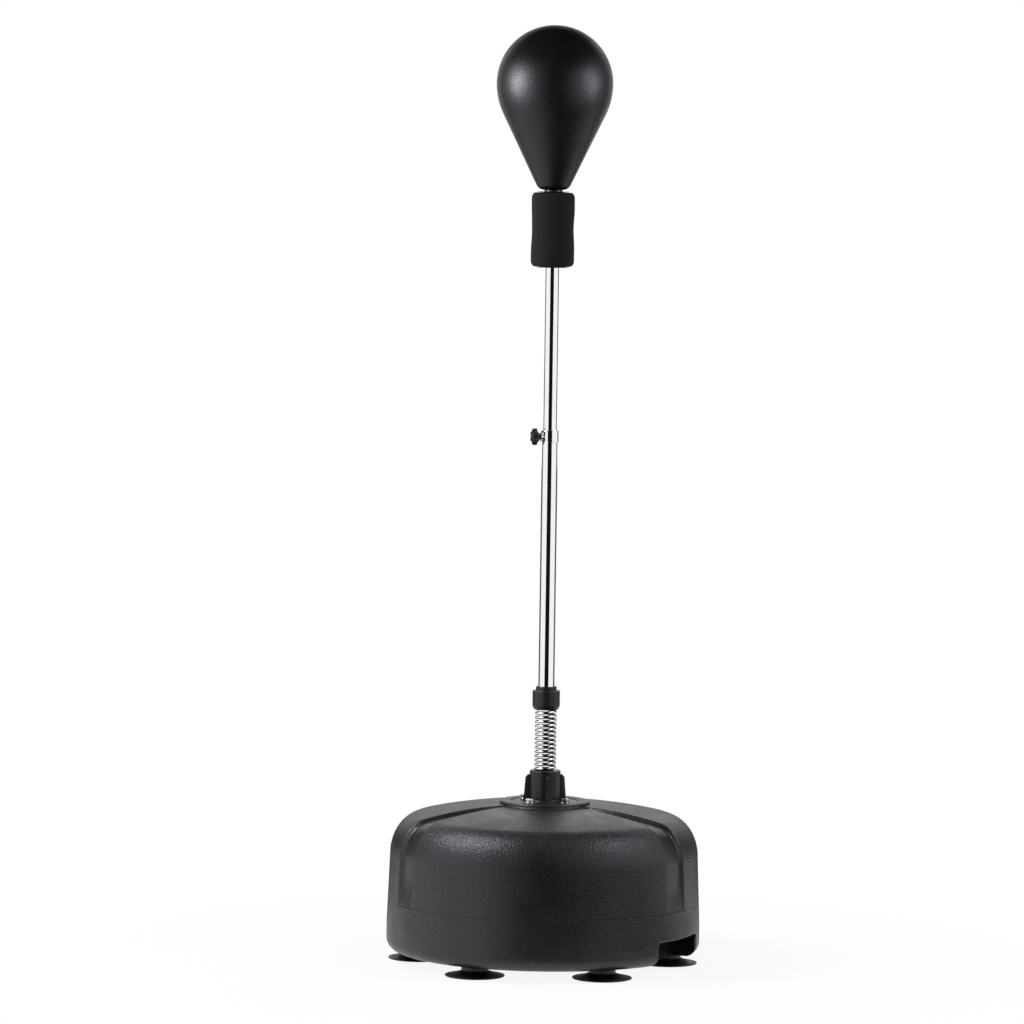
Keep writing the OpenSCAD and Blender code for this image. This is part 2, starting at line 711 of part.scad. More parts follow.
// Star knob: round lobes on a disc with scooped flanks, and a tapered hub towards the ring
module clamp_knob() {
    star_r = knob_d / 2;
    lobe_r = knob_lobe_d / 2;
    half_step = 180 / knob_lobes;
    color("#1b1b1d") along_clamp() difference() {
        union() {
            translate([0, 0, star_x]) linear_extrude(knob_t) {
                difference() {
                    circle(r = star_r - lobe_r);
                    for (k = [0:knob_lobes - 1]) rotate(360 / knob_lobes * (k + 0.5))
                        translate([star_r * cos(half_step) + lobe_r / 2, 0]) circle(d = knob_scoop_d);
                }
                for (k = [0:knob_lobes - 1]) rotate(360 / knob_lobes * k)
                    translate([star_r - lobe_r, 0]) circle(r = lobe_r);
            }
            translate([0, 0, hub_x]) cylinder(d1 = hub_tip_d, d2 = hub_d, h = hub_l + knob_skin);
        }
        cylinder(r = screw_d / 2 + fit_gap, h = knob_end_x - knob_skin + fit_gap);
    }
}

module upper_tube() {
    color("#e0e0e4") pipe(upper_tube_r, upper_bore_r, upper_z0, upper_tube_l);
}

module tube_glide() {
    color("#2a2a2a") {
        translate([0, 0, upper_z0 - glide_flange_t]) cylinder(r = upper_tube_r, h = glide_flange_t);
        translate([0, 0, upper_z0 - glide_flange_t]) cylinder(r = upper_bore_r - fit_gap, h = glide_l);
    }
}

// Foam sleeve: two bulges with a waist between them and rounded ends
module foam_grip() {
    bulge_r = grip_bulge_d / 2;
    waist_r = grip_waist_d / 2;
    mid_z = grip_z0 + grip_l / 2;
    reach = grip_l / 2 - grip_edge_h;
    bore_r = upper_tube_r + fit_gap;
    side = [for (i = [-2 * arc_steps:2 * arc_steps]) let (u = i / (2 * arc_steps))
        [(bulge_r + waist_r) / 2 - (bulge_r - waist_r) / 2 * cos(grip_wave * u), mid_z + reach * u]];
    end_r = side[0][0];
    color("#161617") rotate_extrude() polygon(concat(
        [[bore_r, grip_z0]],
        arc(end_r - grip_edge_w, grip_z0 + grip_edge_h, grip_edge_w, grip_edge_h, -90, -grip_blend),
        side,
        arc(end_r - grip_edge_w, upper_top_z - grip_edge_h, grip_edge_w, grip_edge_h, grip_blend, 90),
        [[bore_r, upper_top_z]]));
}

module top_plug() {
    color("silver")
        pipe(upper_bore_r - fit_gap, ball_stud_d / 2 + thread_gap, upper_top_z - top_plug_l, top_plug_l);
}

module ball_stud() {
    color("silver") translate([0, 0, upper_top_z - stud_below])
        cylinder(d = ball_stud_d, h = stud_below + neck_l + skin_t + neck_flange_t + stud_above);
}

// Neck with a spool-shaped core: a collar under the ball, a flange inside its skin, a blind thread
module ball_neck() {
    color("#1a1a1b") difference() {
        union() {
            translate([0, 0, upper_top_z]) cylinder(d = neck_d, h = neck_l);
            translate([0, 0, upper_top_z]) cylinder(r = neck_hole_r, h = neck_top_z - upper_top_z);
            translate([0, 0, ball_z0 + skin_t])
                cylinder(r = ball_foot_x(skin_t, ball_z0 + skin_t) - fit_gap, h = neck_flange_t);
        }
        translate([0, 0, upper_top_z - spill]) cylinder(r = ball_stud_d / 2 + thread_gap,
            h = spill + neck_l + skin_t + neck_flange_t + stud_above + fit_gap);
    }
}

// Width of the flat under the ball's foot, where a rounding meets the taper smoothly
function ball_foot_x(inset, foot_z) =
    let (a = ball_r - inset, b = ball_drop - inset, m = tan(ball_taper))
    sqrt(a * a + m * m * b * b) + m * (foot_z + ball_foot_r - ball_mid_z) - ball_foot_r / cos(ball_taper);

// Half section of the ball drawn in from its outer face: a round crown, a longer rounded lower part,
// a straight taper that leaves it smoothly, and a rounded foot
function ball_outline(inset, foot_z) =
    let (a = ball_r - inset, b = ball_drop - inset, m = tan(ball_taper))
    let (c = sqrt(a * a + m * m * b * b), turn = asin(m * b / c))
    let (foot_x = ball_foot_x(inset, foot_z))
    concat(
        [[0, foot_z]],
        arc(foot_x, foot_z + ball_foot_r, ball_foot_r, ball_foot_r, -90, -ball_taper),
        arc(0, ball_mid_z, a, b, -turn, 0),
        arc(0, ball_mid_z, a, a, 0, 90, 2 * arc_steps));

// Children along the valve, square to the taper
module along_valve() {
    a = ball_r;
    m = tan(ball_taper);
    c = sqrt(a * a + m * m * ball_drop * ball_drop);
    rotate([0, 0, valve_turn]) translate([c - m * valve_drop, 0, ball_mid_z - valve_drop])
        rotate([0, 90 + ball_taper, 0]) children();
}

module ball_skin() {
    color("#151516") difference() {
        rotate_extrude() polygon(ball_outline(0, ball_z0));
        rotate_extrude() polygon(ball_outline(skin_t, ball_z0 + skin_t));
        translate([0, 0, ball_z0 - spill])
            cylinder(r = neck_hole_r + fit_gap, h = neck_top_z - ball_z0 + run_gap + spill);
        along_valve() translate([0, 0, -valve_l]) cylinder(r = valve_d / 2 + fit_gap, h = 2 * valve_l);
    }
}

module ball_bladder() {
    outer = skin_t + run_gap;
    inner = outer + bladder_t;
    foot_z = neck_top_z + run_gap;
    color("dimgray") difference() {
        rotate_extrude() polygon(ball_outline(outer, foot_z));
        rotate_extrude() polygon(ball_outline(inner, foot_z + bladder_t));
        along_valve() translate([0, 0, -valve_l]) cylinder(r = valve_d / 2 + fit_gap, h = 2 * valve_l);
    }
}

module ball_valve() {
    color("black") along_valve() translate([0, 0, -valve_l]) difference() {
        cylinder(d = valve_d, h = valve_l);
        translate([0, 0, valve_l / 2]) cylinder(d = valve_hole_d, h = valve_l);
    }
}

module filler_seal() {
    color("#333333") at_filler() pipe(filler_neck_r, filler_bore_r, filler_lip_z, seal_t);
}

// Screw cap: roof, skirt round the neck and a grip bar
module filler_cap() {
    bar_r = filler_cap_r - filler_bar_w;
    skirt_z = filler_floor_z + filler_skirt_gap;
    color("#1e1e21") at_filler() {
        pipe(filler_cap_r, filler_neck_r + run_gap, skirt_z, filler_top_z - skirt_z);
        translate([0, 0, filler_lip_z + seal_t]) cylinder(r = filler_cap_r, h = filler_cap_t);
        translate([-bar_r, -filler_bar_w / 2, filler_top_z - spill])
            cube([2 * bar_r, filler_bar_w, spill + filler_sink]);
    }
}

base_top_shell();
base_bottom_shell();
suction_cup_1();
suction_cup_2();
suction_cup_3();
suction_cup_4();
suction_cup_5();
suction_cup_6();
cup_studs();
cup_inserts();
pole_socket();
socket_bolts();
socket_washers();
socket_inserts();
spring_seat();
seat_screw();
seat_insert();
spring();
spring_cap();
spring_plug();
lower_tube();
clamp_ring();
clamp_boss();
clamp_shoe();
clamp_screw();
clamp_knob();
upper_tube();
tube_glide();
foam_grip();
top_plug();
ball_stud();
ball_neck();
ball_skin();
ball_bladder();
ball_valve();
filler_seal();
filler_cap();
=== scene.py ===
"""Reflex ball stand, dressed: the moulded tank, rubber cups, socket, coil spring, chrome pole, foam grip
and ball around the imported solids, with their finishes and a plain studio."""

import math

import bmesh
import bpy
from mathutils import Matrix, Quaternion, Vector


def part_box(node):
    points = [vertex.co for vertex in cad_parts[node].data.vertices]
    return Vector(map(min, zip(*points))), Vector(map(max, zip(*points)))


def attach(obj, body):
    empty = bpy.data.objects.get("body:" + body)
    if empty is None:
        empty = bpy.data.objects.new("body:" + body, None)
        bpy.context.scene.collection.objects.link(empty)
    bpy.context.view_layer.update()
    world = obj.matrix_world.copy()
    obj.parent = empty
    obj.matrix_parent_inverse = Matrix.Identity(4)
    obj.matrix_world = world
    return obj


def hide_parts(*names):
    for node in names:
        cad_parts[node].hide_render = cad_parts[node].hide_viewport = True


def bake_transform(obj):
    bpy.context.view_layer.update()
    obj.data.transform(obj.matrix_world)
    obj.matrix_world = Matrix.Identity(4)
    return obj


bl_info = {
    "name": "Reflex ball stand",
    "version": (1, 0, 0),
    "blender": (4, 5, 0),
    "location": "View3D > Sidebar > Stand",
    "description": "Models the stand's pieces, their finishes and a studio around the packed solids",
    "category": "Mesh",
}

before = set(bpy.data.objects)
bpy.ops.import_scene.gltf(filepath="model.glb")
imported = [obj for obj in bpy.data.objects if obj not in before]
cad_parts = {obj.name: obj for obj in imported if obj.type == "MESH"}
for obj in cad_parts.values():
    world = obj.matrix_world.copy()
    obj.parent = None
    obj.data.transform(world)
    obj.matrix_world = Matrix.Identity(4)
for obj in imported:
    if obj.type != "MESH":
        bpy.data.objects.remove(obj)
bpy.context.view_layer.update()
MM = 0.001
TAU = 2 * math.pi


def span(node, axis=2):
    """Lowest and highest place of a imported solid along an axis, in millimetres."""
    low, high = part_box(node)
    return low[axis] / MM, high[axis] / MM


# Sizes in millimetres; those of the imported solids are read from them

BASE_R = span("base_bottom_shell", 0)[1]
UNDER_Z = span("base_bottom_shell")[0]
SEAM_Z, PLATFORM_Z = span("base_top_shell")
SOCKET_Z, SOCKET_TOP_Z = span("pole_socket")
CAP_Z, CAP_TOP_Z = span("spring_cap")
SPRING_Z0, SPRING_Z1 = span("spring")
LOWER_Z0, LOWER_Z1 = span("lower_tube")
RING_Z0, RING_Z1 = span("clamp_ring")
UPPER_Z0, UPPER_Z1 = span("upper_tube")
GRIP_Z0, GRIP_Z1 = span("foam_grip")
BALL_Z0, BALL_Z1 = span("ball_skin")
BALL_R = span("ball_skin", 0)[1]

WALL = 4
DRAFT = 4.2
BELT_Z = UNDER_Z + 42
SHOULDER_Z = UNDER_Z + 150
SHOULDER_R = BASE_R - DRAFT
SHOULDER_OUT, SHOULDER_UP = 49, 63


def shoulder(turn):
    """Radius and height of the tank's shoulder, from the wall at no turn up to the crown."""
    return SHOULDER_R - SHOULDER_OUT * (1 - math.cos(turn)), SHOULDER_Z + SHOULDER_UP * math.sin(turn)


CROWN_TURN = math.radians(80)
CROWN_R, CROWN_Z = shoulder(CROWN_TURN)
CROWN_SLOPE = SHOULDER_UP / SHOULDER_OUT / math.tan(CROWN_TURN)
PLATFORM_R = 70
PLATFORM_FOOT_Z = PLATFORM_Z - 6.5
NOTCH_TURN = math.radians(4)
NOTCH_HALF, NOTCH_H, NOTCH_DEPTH, NOTCH_CORNER = 63, 37, 40, 6
CUPS = 6
CUP_RING_R = 195
CUP_R, CUP_NECK_R = 46, 21
FLANGE_Z = SOCKET_Z + 6
FLANGE_R = 52
FINS = 4
FIN_TURN = math.radians(-50)
BOLT_R = 39
SPRING_BORE = 17.3
COIL_R = 14.5
COIL_TURN = 0.345
CLAMP_TURN = math.radians(-130)
CLAMP_Z = RING_Z0 + 8
KNOB_R, KNOB_LOBE, KNOB_LOBES = 8.8, 4.2, 6
GRIP_R, GRIP_END = 32.3, 20
BALL_TAPER = math.radians(25.8)
BALL_DROP = 100
VALVE_TURN = math.radians(122)
VALVE_DROP = 78
FILLER = sum(span("filler_seal", 0)) / 2, sum(span("filler_seal", 1)) / 2
FILLER_R = math.hypot(*FILLER)
FILLER_TOP_Z = span("filler_cap")[1] - 2
FILLER_LIP_Z = span("filler_seal")[0]
FILLER_FLOOR_Z = FILLER_LIP_Z - 13
FILLER_CAP_R, FILLER_RIB, FILLER_RIBS = 21.2, 0.45, 40
WELL_R, WELL_OUT_R, WELL_HOLE_R = 30, 33.2, 31.5
NECK_BORE_R, NECK_R = 15, 18

LAMP_TURN = math.radians(75)
LAMP_OUT, LAMP_Z, LAMP_AIM_Z = 1070, 1400, 950
LAMP_W, LAMP_H = 340, 500
CARD_R, LOW_CARD_TOP = 2600, 600
GROUND_R, GROUND_Z = 330, 2
CEILING_Z = 2620
FLOOR_R = 5000
SOFT_LIGHT = 0.55
BLACK, DARK, GREY = 0.006, 0.02, 0.1
WHITE = 1, 1, 1, 1


class TankSettings(bpy.types.PropertyGroup):
    colour: bpy.props.FloatVectorProperty(
        name="Tank colour", description="Colour of the moulded tank", subtype="COLOR", size=4,
        default=(0.011, 0.011, 0.0125, 1), min=0, max=1)
    channel_depth: bpy.props.FloatProperty(
        name="Channel depth", description="Depth of the channels between the lobes",
        default=5 * MM, unit="LENGTH")
    channel_half: bpy.props.FloatProperty(
        name="Channel half angle", description="Half of the angle that a channel takes up",
        default=math.radians(5), subtype="ANGLE")
    channel_round: bpy.props.FloatProperty(
        name="Channel rounding", description="Width over which a lobe rolls down into a channel",
        default=4.5 * MM, unit="LENGTH")
    grain_size: bpy.props.FloatProperty(
        name="Grain size", description="Size of one pebble of the moulded grain",
        default=2.4 * MM, unit="LENGTH")
    grain_depth: bpy.props.FloatProperty(
        name="Grain depth", description="Depth of the moulded grain", default=0.45 * MM, unit="LENGTH")
    rubber_colour: bpy.props.FloatVectorProperty(
        name="Rubber colour", description="Colour of the suction cups", subtype="COLOR", size=4,
        default=(0.008, 0.008, 0.009, 1), min=0, max=1)


class PoleSettings(bpy.types.PropertyGroup):
    chrome_colour: bpy.props.FloatVectorProperty(
        name="Chrome colour", description="Colour of the plated tubes", subtype="COLOR", size=4,
        default=(0.92, 0.92, 0.93, 1), min=0, max=1)
    chrome_roughness: bpy.props.FloatProperty(
        name="Chrome roughness", description="Roughness of the plating", default=0.05, min=0, max=1)
    plastic_colour: bpy.props.FloatVectorProperty(
        name="Plastic colour", description="Colour of the socket, the cap and the knob",
        subtype="COLOR", size=4, default=(0.012, 0.012, 0.013, 1), min=0, max=1)
    spring_turns: bpy.props.FloatProperty(
        name="Spring turns", description="Turns of the coil between its two ends", default=20.5, min=4)
    wire: bpy.props.FloatProperty(
        name="Spring wire", description="Diameter of the spring wire", default=5 * MM, unit="LENGTH")


class BallSettings(bpy.types.PropertyGroup):
    colour: bpy.props.FloatVectorProperty(
        name="Ball colour", description="Colour of the ball's skin", subtype="COLOR", size=4,
        default=(0.004, 0.004, 0.0044, 1), min=0, max=1)
    grain_size: bpy.props.FloatProperty(
        name="Ball grain size", description="Size of the skin's grain", default=1.7 * MM, unit="LENGTH")
    foam_colour: bpy.props.FloatVectorProperty(
        name="Foam colour", description="Colour of the foam grip", subtype="COLOR", size=4,
        default=(0.008, 0.008, 0.0085, 1), min=0, max=1)
    pore_size: bpy.props.FloatProperty(
        name="Foam pore size", description="Size of the foam's pores", default=0.9 * MM, unit="LENGTH")


class StudioSettings(bpy.types.PropertyGroup):
    azimuth: bpy.props.FloatProperty(
        name="Camera azimuth", description="Direction of the camera round the stand",
        default=math.radians(32), subtype="ANGLE")
    distance: bpy.props.FloatProperty(
        name="Camera distance", description="Level distance from the pole to the camera",
        default=9.0, unit="LENGTH")
    height: bpy.props.FloatProperty(
        name="Camera height", description="Height of the camera above the floor",
        default=1.367, unit="LENGTH")
    lens: bpy.props.FloatProperty(
        name="Lens", description="Focal length on a 36 mm sensor", default=204.4, subtype="DISTANCE_CAMERA")
    aim_height: bpy.props.FloatProperty(
        name="Aim height", description="Height at which the camera looks", default=0.7011, unit="LENGTH")
    aim_side: bpy.props.FloatProperty(
        name="Aim side", description="How far to the left of the pole the camera looks",
        default=0.0572, unit="LENGTH")
    roll: bpy.props.FloatProperty(
        name="Roll", description="Turn of the camera about its own line of sight",
        default=math.radians(0.8), subtype="ANGLE")
    left_power: bpy.props.FloatProperty(
        name="Left lamp", description="Power of the soft lamp on the left", default=18.5, unit="POWER")
    right_power: bpy.props.FloatProperty(
        name="Right lamp", description="Power of the soft lamp on the right", default=6.0, unit="POWER")
    floor_colour: bpy.props.FloatVectorProperty(
        name="Floor colour", description="Colour of the studio floor", subtype="COLOR", size=4,
        default=(0.8, 0.8, 0.8, 1), min=0, max=1)


# Drawing and shaping

def deselect():
    """Leaves edit mode with nothing selected."""
    if bpy.context.mode != "OBJECT":
        bpy.ops.object.mode_set(mode="OBJECT")
    bpy.ops.object.select_all(action="DESELECT")


def pick(piece):
    """Makes one piece the only selected and active one."""
    deselect()
    piece.select_set(True)
    bpy.context.view_layer.objects.active = piece
    return piece


def rename(piece, name):
    piece.name = name
    piece.data.name = name
    return piece


def added(name, add, **values):
    """A new object made by one of Blender's own calls, under its name."""
    deselect()
    add(**values)
    return rename(bpy.context.object, name)


def modified(piece, kind, **values):
    """Gives a piece one modifier and applies it."""
    pick(piece)
    bpy.ops.object.modifier_add(type=kind)
    modifier = piece.modifiers[-1]
    for label, value in values.items():
        setattr(modifier, label, value)
    bpy.ops.object.modifier_apply(modifier=modifier.name)
    return piece


def spin(steps, angle, **values):
    """Sweeps what is selected in edit mode round the upright axis."""
    bpy.ops.mesh.spin(steps=steps, angle=angle, center=(0, 0, 0), axis=(0, 0, 1), **values)


def soften(corners, steps=5):
    """Outline through corners (out, up, rounding), with each corner rounded by its own radius.

    A point before and after each arc keeps the long faces beside it flat when they are shaded smooth.
    """
    line = []
    for i, (out, up, radius) in enumerate(corners):
        here = Vector((out, up))
        if radius <= 0 or i in (0, len(corners) - 1):
            line.append(here)
            continue
        back = Vector(corners[i - 1][:2]) - here
        ahead = Vector(corners[i + 1][:2]) - here
        half = back.angle(ahead) / 2
        room = 0.49 * min(back.length, ahead.length)
        cut = min(radius / math.tan(half), room)
        hold = min(1.3 * cut, room)
        radius = cut * math.tan(half)
        back.normalize()
        ahead.normalize()
        middle = here + (back + ahead).normalized() * radius / math.sin(half)
        first, last = here + back * cut - middle, here + ahead * cut - middle
        arc = [middle + first.lerp(last, k / steps).normalized() * radius for k in range(steps + 1)]
        line += [here + back * hold, *arc, here + ahead * hold]
    return line


def draw(name, points):
    """Merges a small plane to a corner and extrudes it along an outline (out, up).

    It stays in edit mode, with the whole outline selected.
    """
    piece = added(name, bpy.ops.mesh.primitive_plane_add, size=MM)
    bpy.ops.object.mode_set(mode="EDIT")
    bpy.ops.mesh.merge(type="CENTER")
    here = Vector((0, 0, 0))
    for k, point in enumerate(points):
        there = Vector((point[0], 0, point[1])) * MM
        if k == 0:
            bpy.ops.transform.translate(value=there - here)
        else:
            bpy.ops.mesh.extrude_vertices_move(TRANSFORM_OT_translate={"value": there - here})
        here = there
    bpy.ops.mesh.select_all(action="SELECT")
    return piece


def close_up():
    """Merges doubled corners, turns the faces outwards and leaves edit mode."""
    bpy.ops.mesh.select_all(action="SELECT")
    bpy.ops.mesh.remove_doubles(threshold=2e-6)
    bpy.ops.mesh.normals_make_consistent(inside=False)
    if bmesh.from_edit_mesh(bpy.context.object.data).calc_volume(signed=True) < 0:
        bpy.ops.mesh.flip_normals()
    bpy.ops.object.mode_set(mode="OBJECT")


def swept(name, points, steps, angle):
    """A piece swept round the upright axis from an outline."""
    piece = draw(name, points)
    spin(steps, angle)
    close_up()
    return piece


def turned(name, corners, steps=96):
    """A piece turned about the upright axis from a rounded outline."""
    return swept(name, soften(corners), steps, TAU)


def lofted(name, rings):
    """A closed piece through rings of points in millimetres, one circle for each ring."""
    count = len(rings[0])
    piece = added(name, bpy.ops.mesh.primitive_circle_add, vertices=count, radius=MM)
    bpy.ops.object.mode_set(mode="EDIT")
    for k, ring in enumerate(rings):
        if k:
            bpy.ops.mesh.primitive_circle_add(vertices=count, radius=MM)
        corners = bmesh.from_edit_mesh(piece.data)
        corners.verts.ensure_lookup_table()
        for vertex, point in zip(corners.verts[-count:], ring):
            vertex.co = Vector(point) * MM
        bmesh.update_edit_mesh(piece.data)
    bpy.ops.mesh.select_all(action="SELECT")
    bpy.ops.mesh.bridge_edge_loops(type="SINGLE")
    bpy.ops.mesh.select_all(action="SELECT")
    bpy.ops.mesh.fill_holes(sides=0)
    close_up()
    return piece


def plate(name, corners, thickness, edge):
    """A flat plate from a rounded outline, half as thick on each side of it, with bevelled edges."""
    piece = draw(name, soften(corners))
    bpy.ops.mesh.edge_face_add()
    bpy.ops.transform.translate(value=(0, -thickness * MM / 2, 0))
    bpy.ops.mesh.extrude_region_move(TRANSFORM_OT_translate={"value": (0, thickness * MM, 0)})
    close_up()
    return bevelled(piece, edge, 2)


def bevelled(piece, width, segments):
    """Rounds the sharp edges of a piece."""
    return modified(piece, "BEVEL", width=width * MM, segments=segments, limit_method="ANGLE",
                    angle_limit=math.radians(30))


def discard(piece):
    """Deletes a pattern piece or a cutter."""
    pick(piece)
    bpy.ops.object.delete()


def cut_away(piece, cutter):
    """Takes the cutter's body out of a piece and deletes the cutter."""
    modified(piece, "BOOLEAN", operation="DIFFERENCE", solver="MANIFOLD", object=cutter)
    discard(cutter)


def moved(piece, place):
    """Puts a piece at a place and applies it, so that its object stays at the origin."""
    pick(piece)
    piece.matrix_world = place
    bpy.ops.object.transform_apply(location=True, rotation=True, scale=True)
    return piece


def copies(piece, name, places):
    """Copies of a pattern piece, each with its own mesh, at their places; the pattern itself is deleted."""
    made = []
    for k, place in enumerate(places, 1):
        pick(piece)
        bpy.ops.object.duplicate(linked=False)
        made.append(moved(rename(bpy.context.object, f"{name}_{k}"), place))
    discard(piece)
    return made


def joined(name, pieces):
    """Several pieces joined into the first."""
    pick(pieces[0])
    for piece in pieces[1:]:
        piece.select_set(True)
    bpy.ops.object.join()
    return rename(bpy.context.object, name)


def settle(piece, body, slot, skin, *nodes, crease=35):
    """Smooths a finished piece, gives it its finish, and sets it on its body for its solids; the slot is not
    used.
    """
    pick(piece)
    bpy.ops.object.shade_smooth_by_angle(angle=math.radians(crease))
    piece.data.materials.clear()
    piece.data.materials.append(finish(skin))
    if body:
        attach(piece, body)
    if nodes:
        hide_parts(*nodes)
    return piece


def about(turn, out=0, up=0):
    """A place turned about the pole, then out from it and up, in millimetres."""
    return Matrix.Rotation(turn, 4, "Z") @ Matrix.Translation(Vector((out, 0, up)) * MM)


AT_FILLER = Matrix.Translation(Vector((*FILLER, 0)) * MM)
ALONG_CLAMP = about(CLAMP_TURN, up=CLAMP_Z) @ Matrix.Rotation(math.pi / 2, 4, "Y")


def circle(radius, up, count=96):
    """Ring of points for a lofted piece; radius is a number or a function of the angle."""
    ring = []
    for k in range(count):
        a = TAU * k / count
        r = radius(a) if callable(radius) else radius
        ring.append((r * math.cos(a), r * math.sin(a), up))
    return ring


def wall_r(z):
    """Radius of the tank's side wall at a height."""
    return BASE_R - DRAFT * (z - BELT_Z) / (SHOULDER_Z - BELT_Z)


def crown_z(r):
    """Height of the tank's crown at a radius: a dome from the shoulder that flattens at the platform."""
    run, whole = CROWN_R - r, CROWN_R - PLATFORM_R
    flatten = (CROWN_SLOPE - (PLATFORM_FOOT_Z - CROWN_Z) / whole) / whole
    return CROWN_Z + CROWN_SLOPE * run - flatten * run ** 2


def ease(t):
    """Soft step from 0 to 1."""
    t = min(max(t, 0), 1)
    return t * t * (3 - 2 * t)


# Finishes

def group(name, inputs, outputs):
    """An empty shader group with named value sockets, and its input and output nodes."""
    tree = bpy.data.node_groups.new(name, "ShaderNodeTree")
    for label, default in inputs:
        socket = tree.interface.new_socket(label, in_out="INPUT", socket_type="NodeSocketFloat")
        socket.default_value = default
    for label in outputs:
        tree.interface.new_socket(label, in_out="OUTPUT", socket_type="NodeSocketFloat")
    return tree, tree.nodes.new("NodeGroupInput"), tree.nodes.new("NodeGroupOutput")


def feed(tree, value, socket):
    """Links a socket to another one, or sets it to a number or a colour."""
    if isinstance(value, bpy.types.NodeSocket):
        tree.links.new(value, socket)
    else:
        socket.default_value = value


def maths(tree, operation, a, b):
    """A maths node fed by numbers or sockets."""
    node = tree.nodes.new("ShaderNodeMath")
    node.operation = operation
    feed(tree, a, node.inputs[0])
    feed(tree, b, node.inputs[1])
    return node.outputs[0]


def halfway(tree, a, b):
    """The mean of two values."""
    return maths(tree, "ADD", maths(tree, "MULTIPLY", a, 0.5), maths(tree, "MULTIPLY", b, 0.5))


def remap(tree, value, low, high, to_low=0.0, to_high=1.0):
    """A value spread from one range to another."""
    node = tree.nodes.new("ShaderNodeMapRange")
    tree.links.new(value, node.inputs["Value"])
    for label, number in (("From Min", low), ("From Max", high), ("To Min", to_low), ("To Max", to_high)):
        node.inputs[label].default_value = number
    return node.outputs["Result"]


def own_place(tree):
    """The piece's own coordinates."""
    return tree.nodes.new("ShaderNodeTexCoord").outputs["Object"]


def kept_value(tree, name):
    """A value kept on the points of a mesh."""
    node = tree.nodes.new("ShaderNodeAttribute")
    node.attribute_name = name
    return node.outputs["Fac"]


def noise(tree, scale, detail, vector=None):
    """Noise on the piece's own coordinates, or on others."""
    node = tree.nodes.new("ShaderNodeTexNoise")
    node.inputs["Detail"].default_value = detail
    tree.links.new(vector or own_place(tree), node.inputs["Vector"])
    feed(tree, scale, node.inputs["Scale"])
    return node.outputs["Fac"]


def emboss(tree, shader, height, depth):
    """Bump of a depth in metres."""
    bump = tree.nodes.new("ShaderNodeBump")
    bump.inputs["Distance"].default_value = depth
    tree.links.new(height, bump.inputs["Height"])
    tree.links.new(bump.outputs["Normal"], shader.inputs["Normal"])


def pebble_grain():
    """Rounded pebbles of a moulded or embossed skin: a height, and a mask of its pits."""
    tree, given, out = group("Pebble grain", [("Size", 0.002), ("Speckle", 0.4)], ["Height", "Pits"])
    scale = maths(tree, "DIVIDE", 1.0, given.outputs["Size"])
    cells = tree.nodes.new("ShaderNodeTexVoronoi")
    cells.feature = "SMOOTH_F1"
    cells.inputs["Smoothness"].default_value = 0.25
    tree.links.new(own_place(tree), cells.inputs["Vector"])
    tree.links.new(scale, cells.inputs["Scale"])
    specks = noise(tree, maths(tree, "MULTIPLY", scale, 0.9), 3.0)
    rough = maths(tree, "MULTIPLY", maths(tree, "SUBTRACT", specks, 0.5), given.outputs["Speckle"])
    domes = maths(tree, "SUBTRACT", 1.0, cells.outputs["Distance"])
    height = maths(tree, "ADD", domes, rough)
    tree.links.new(height, out.inputs["Height"])
    tree.links.new(remap(tree, height, 0.75, 0.35), out.inputs["Pits"])
    return tree


def cloudy_tone():
    """Slow, uneven change of tone over a surface, from 0 to 1."""
    tree, given, out = group("Cloudy tone", [("Size", 0.05)], ["Tone"])
    clouds = noise(tree, maths(tree, "DIVIDE", 1.0, given.outputs["Size"]), 4.0)
    tree.links.new(remap(tree, clouds, 0.3, 0.7), out.inputs["Tone"])
    return tree


def drawn_streaks():
    """Fine upright streaks of a drawn and polished tube, from 0 to 1."""
    tree, given, out = group("Drawn streaks", [("Size", 0.0006)], ["Streak"])
    stretch = tree.nodes.new("ShaderNodeMapping")
    stretch.inputs["Scale"].default_value = (1, 1, 0.012)
    tree.links.new(own_place(tree), stretch.inputs["Vector"])
    scale = maths(tree, "DIVIDE", 1.0, given.outputs["Size"])
    lines = noise(tree, scale, 3.0, stretch.outputs["Vector"])
    tree.links.new(remap(tree, lines, 0.35, 0.7), out.inputs["Streak"])
    return tree


def dust_and_top_sheen():
    """Thin dust on faces that look up, which also paints a light sheen on them, from 0 to 1."""
    tree, given, out = group("Dust and top sheen", [("Amount", 0.2)], ["Dust"])
    split = tree.nodes.new("ShaderNodeSeparateXYZ")
    tree.links.new(tree.nodes.new("ShaderNodeTexCoord").outputs["Normal"], split.inputs["Vector"])
    level = remap(tree, split.outputs["Z"], 0.6, 1.0)
    patches = remap(tree, noise(tree, 38.0, 6.0), 0.35, 0.75)
    dust_and_sheen = maths(tree, "MULTIPLY", maths(tree, "MULTIPLY", level, patches), given.outputs["Amount"])
    tree.links.new(dust_and_sheen, out.inputs["Dust"])
    return tree


def rubbed_edges():
    """Paler, smoother places where convex edges are rubbed, from 0 to 1."""
    tree, given, out = group("Rubbed edges", [("Amount", 0.5)], ["Wear"])
    bend = tree.nodes.new("ShaderNodeNewGeometry").outputs["Pointiness"]
    edge = remap(tree, bend, 0.515, 0.58)
    broken = remap(tree, noise(tree, 90.0, 5.0), 0.3, 0.65)
    wear = maths(tree, "MULTIPLY", maths(tree, "MULTIPLY", edge, broken), given.outputs["Amount"])
    tree.links.new(wear, out.inputs["Wear"])
    return tree


GROUPS = {}
FINISHES = {}


def effect(tree, maker, **values):
    """Places a shared effect group in a material, with its own values."""
    if maker not in GROUPS:
        GROUPS[maker] = maker()
    node = tree.nodes.new("ShaderNodeGroup")
    node.node_tree = GROUPS[maker]
    for label, value in values.items():
        node.inputs[label].default_value = value
    return node.outputs


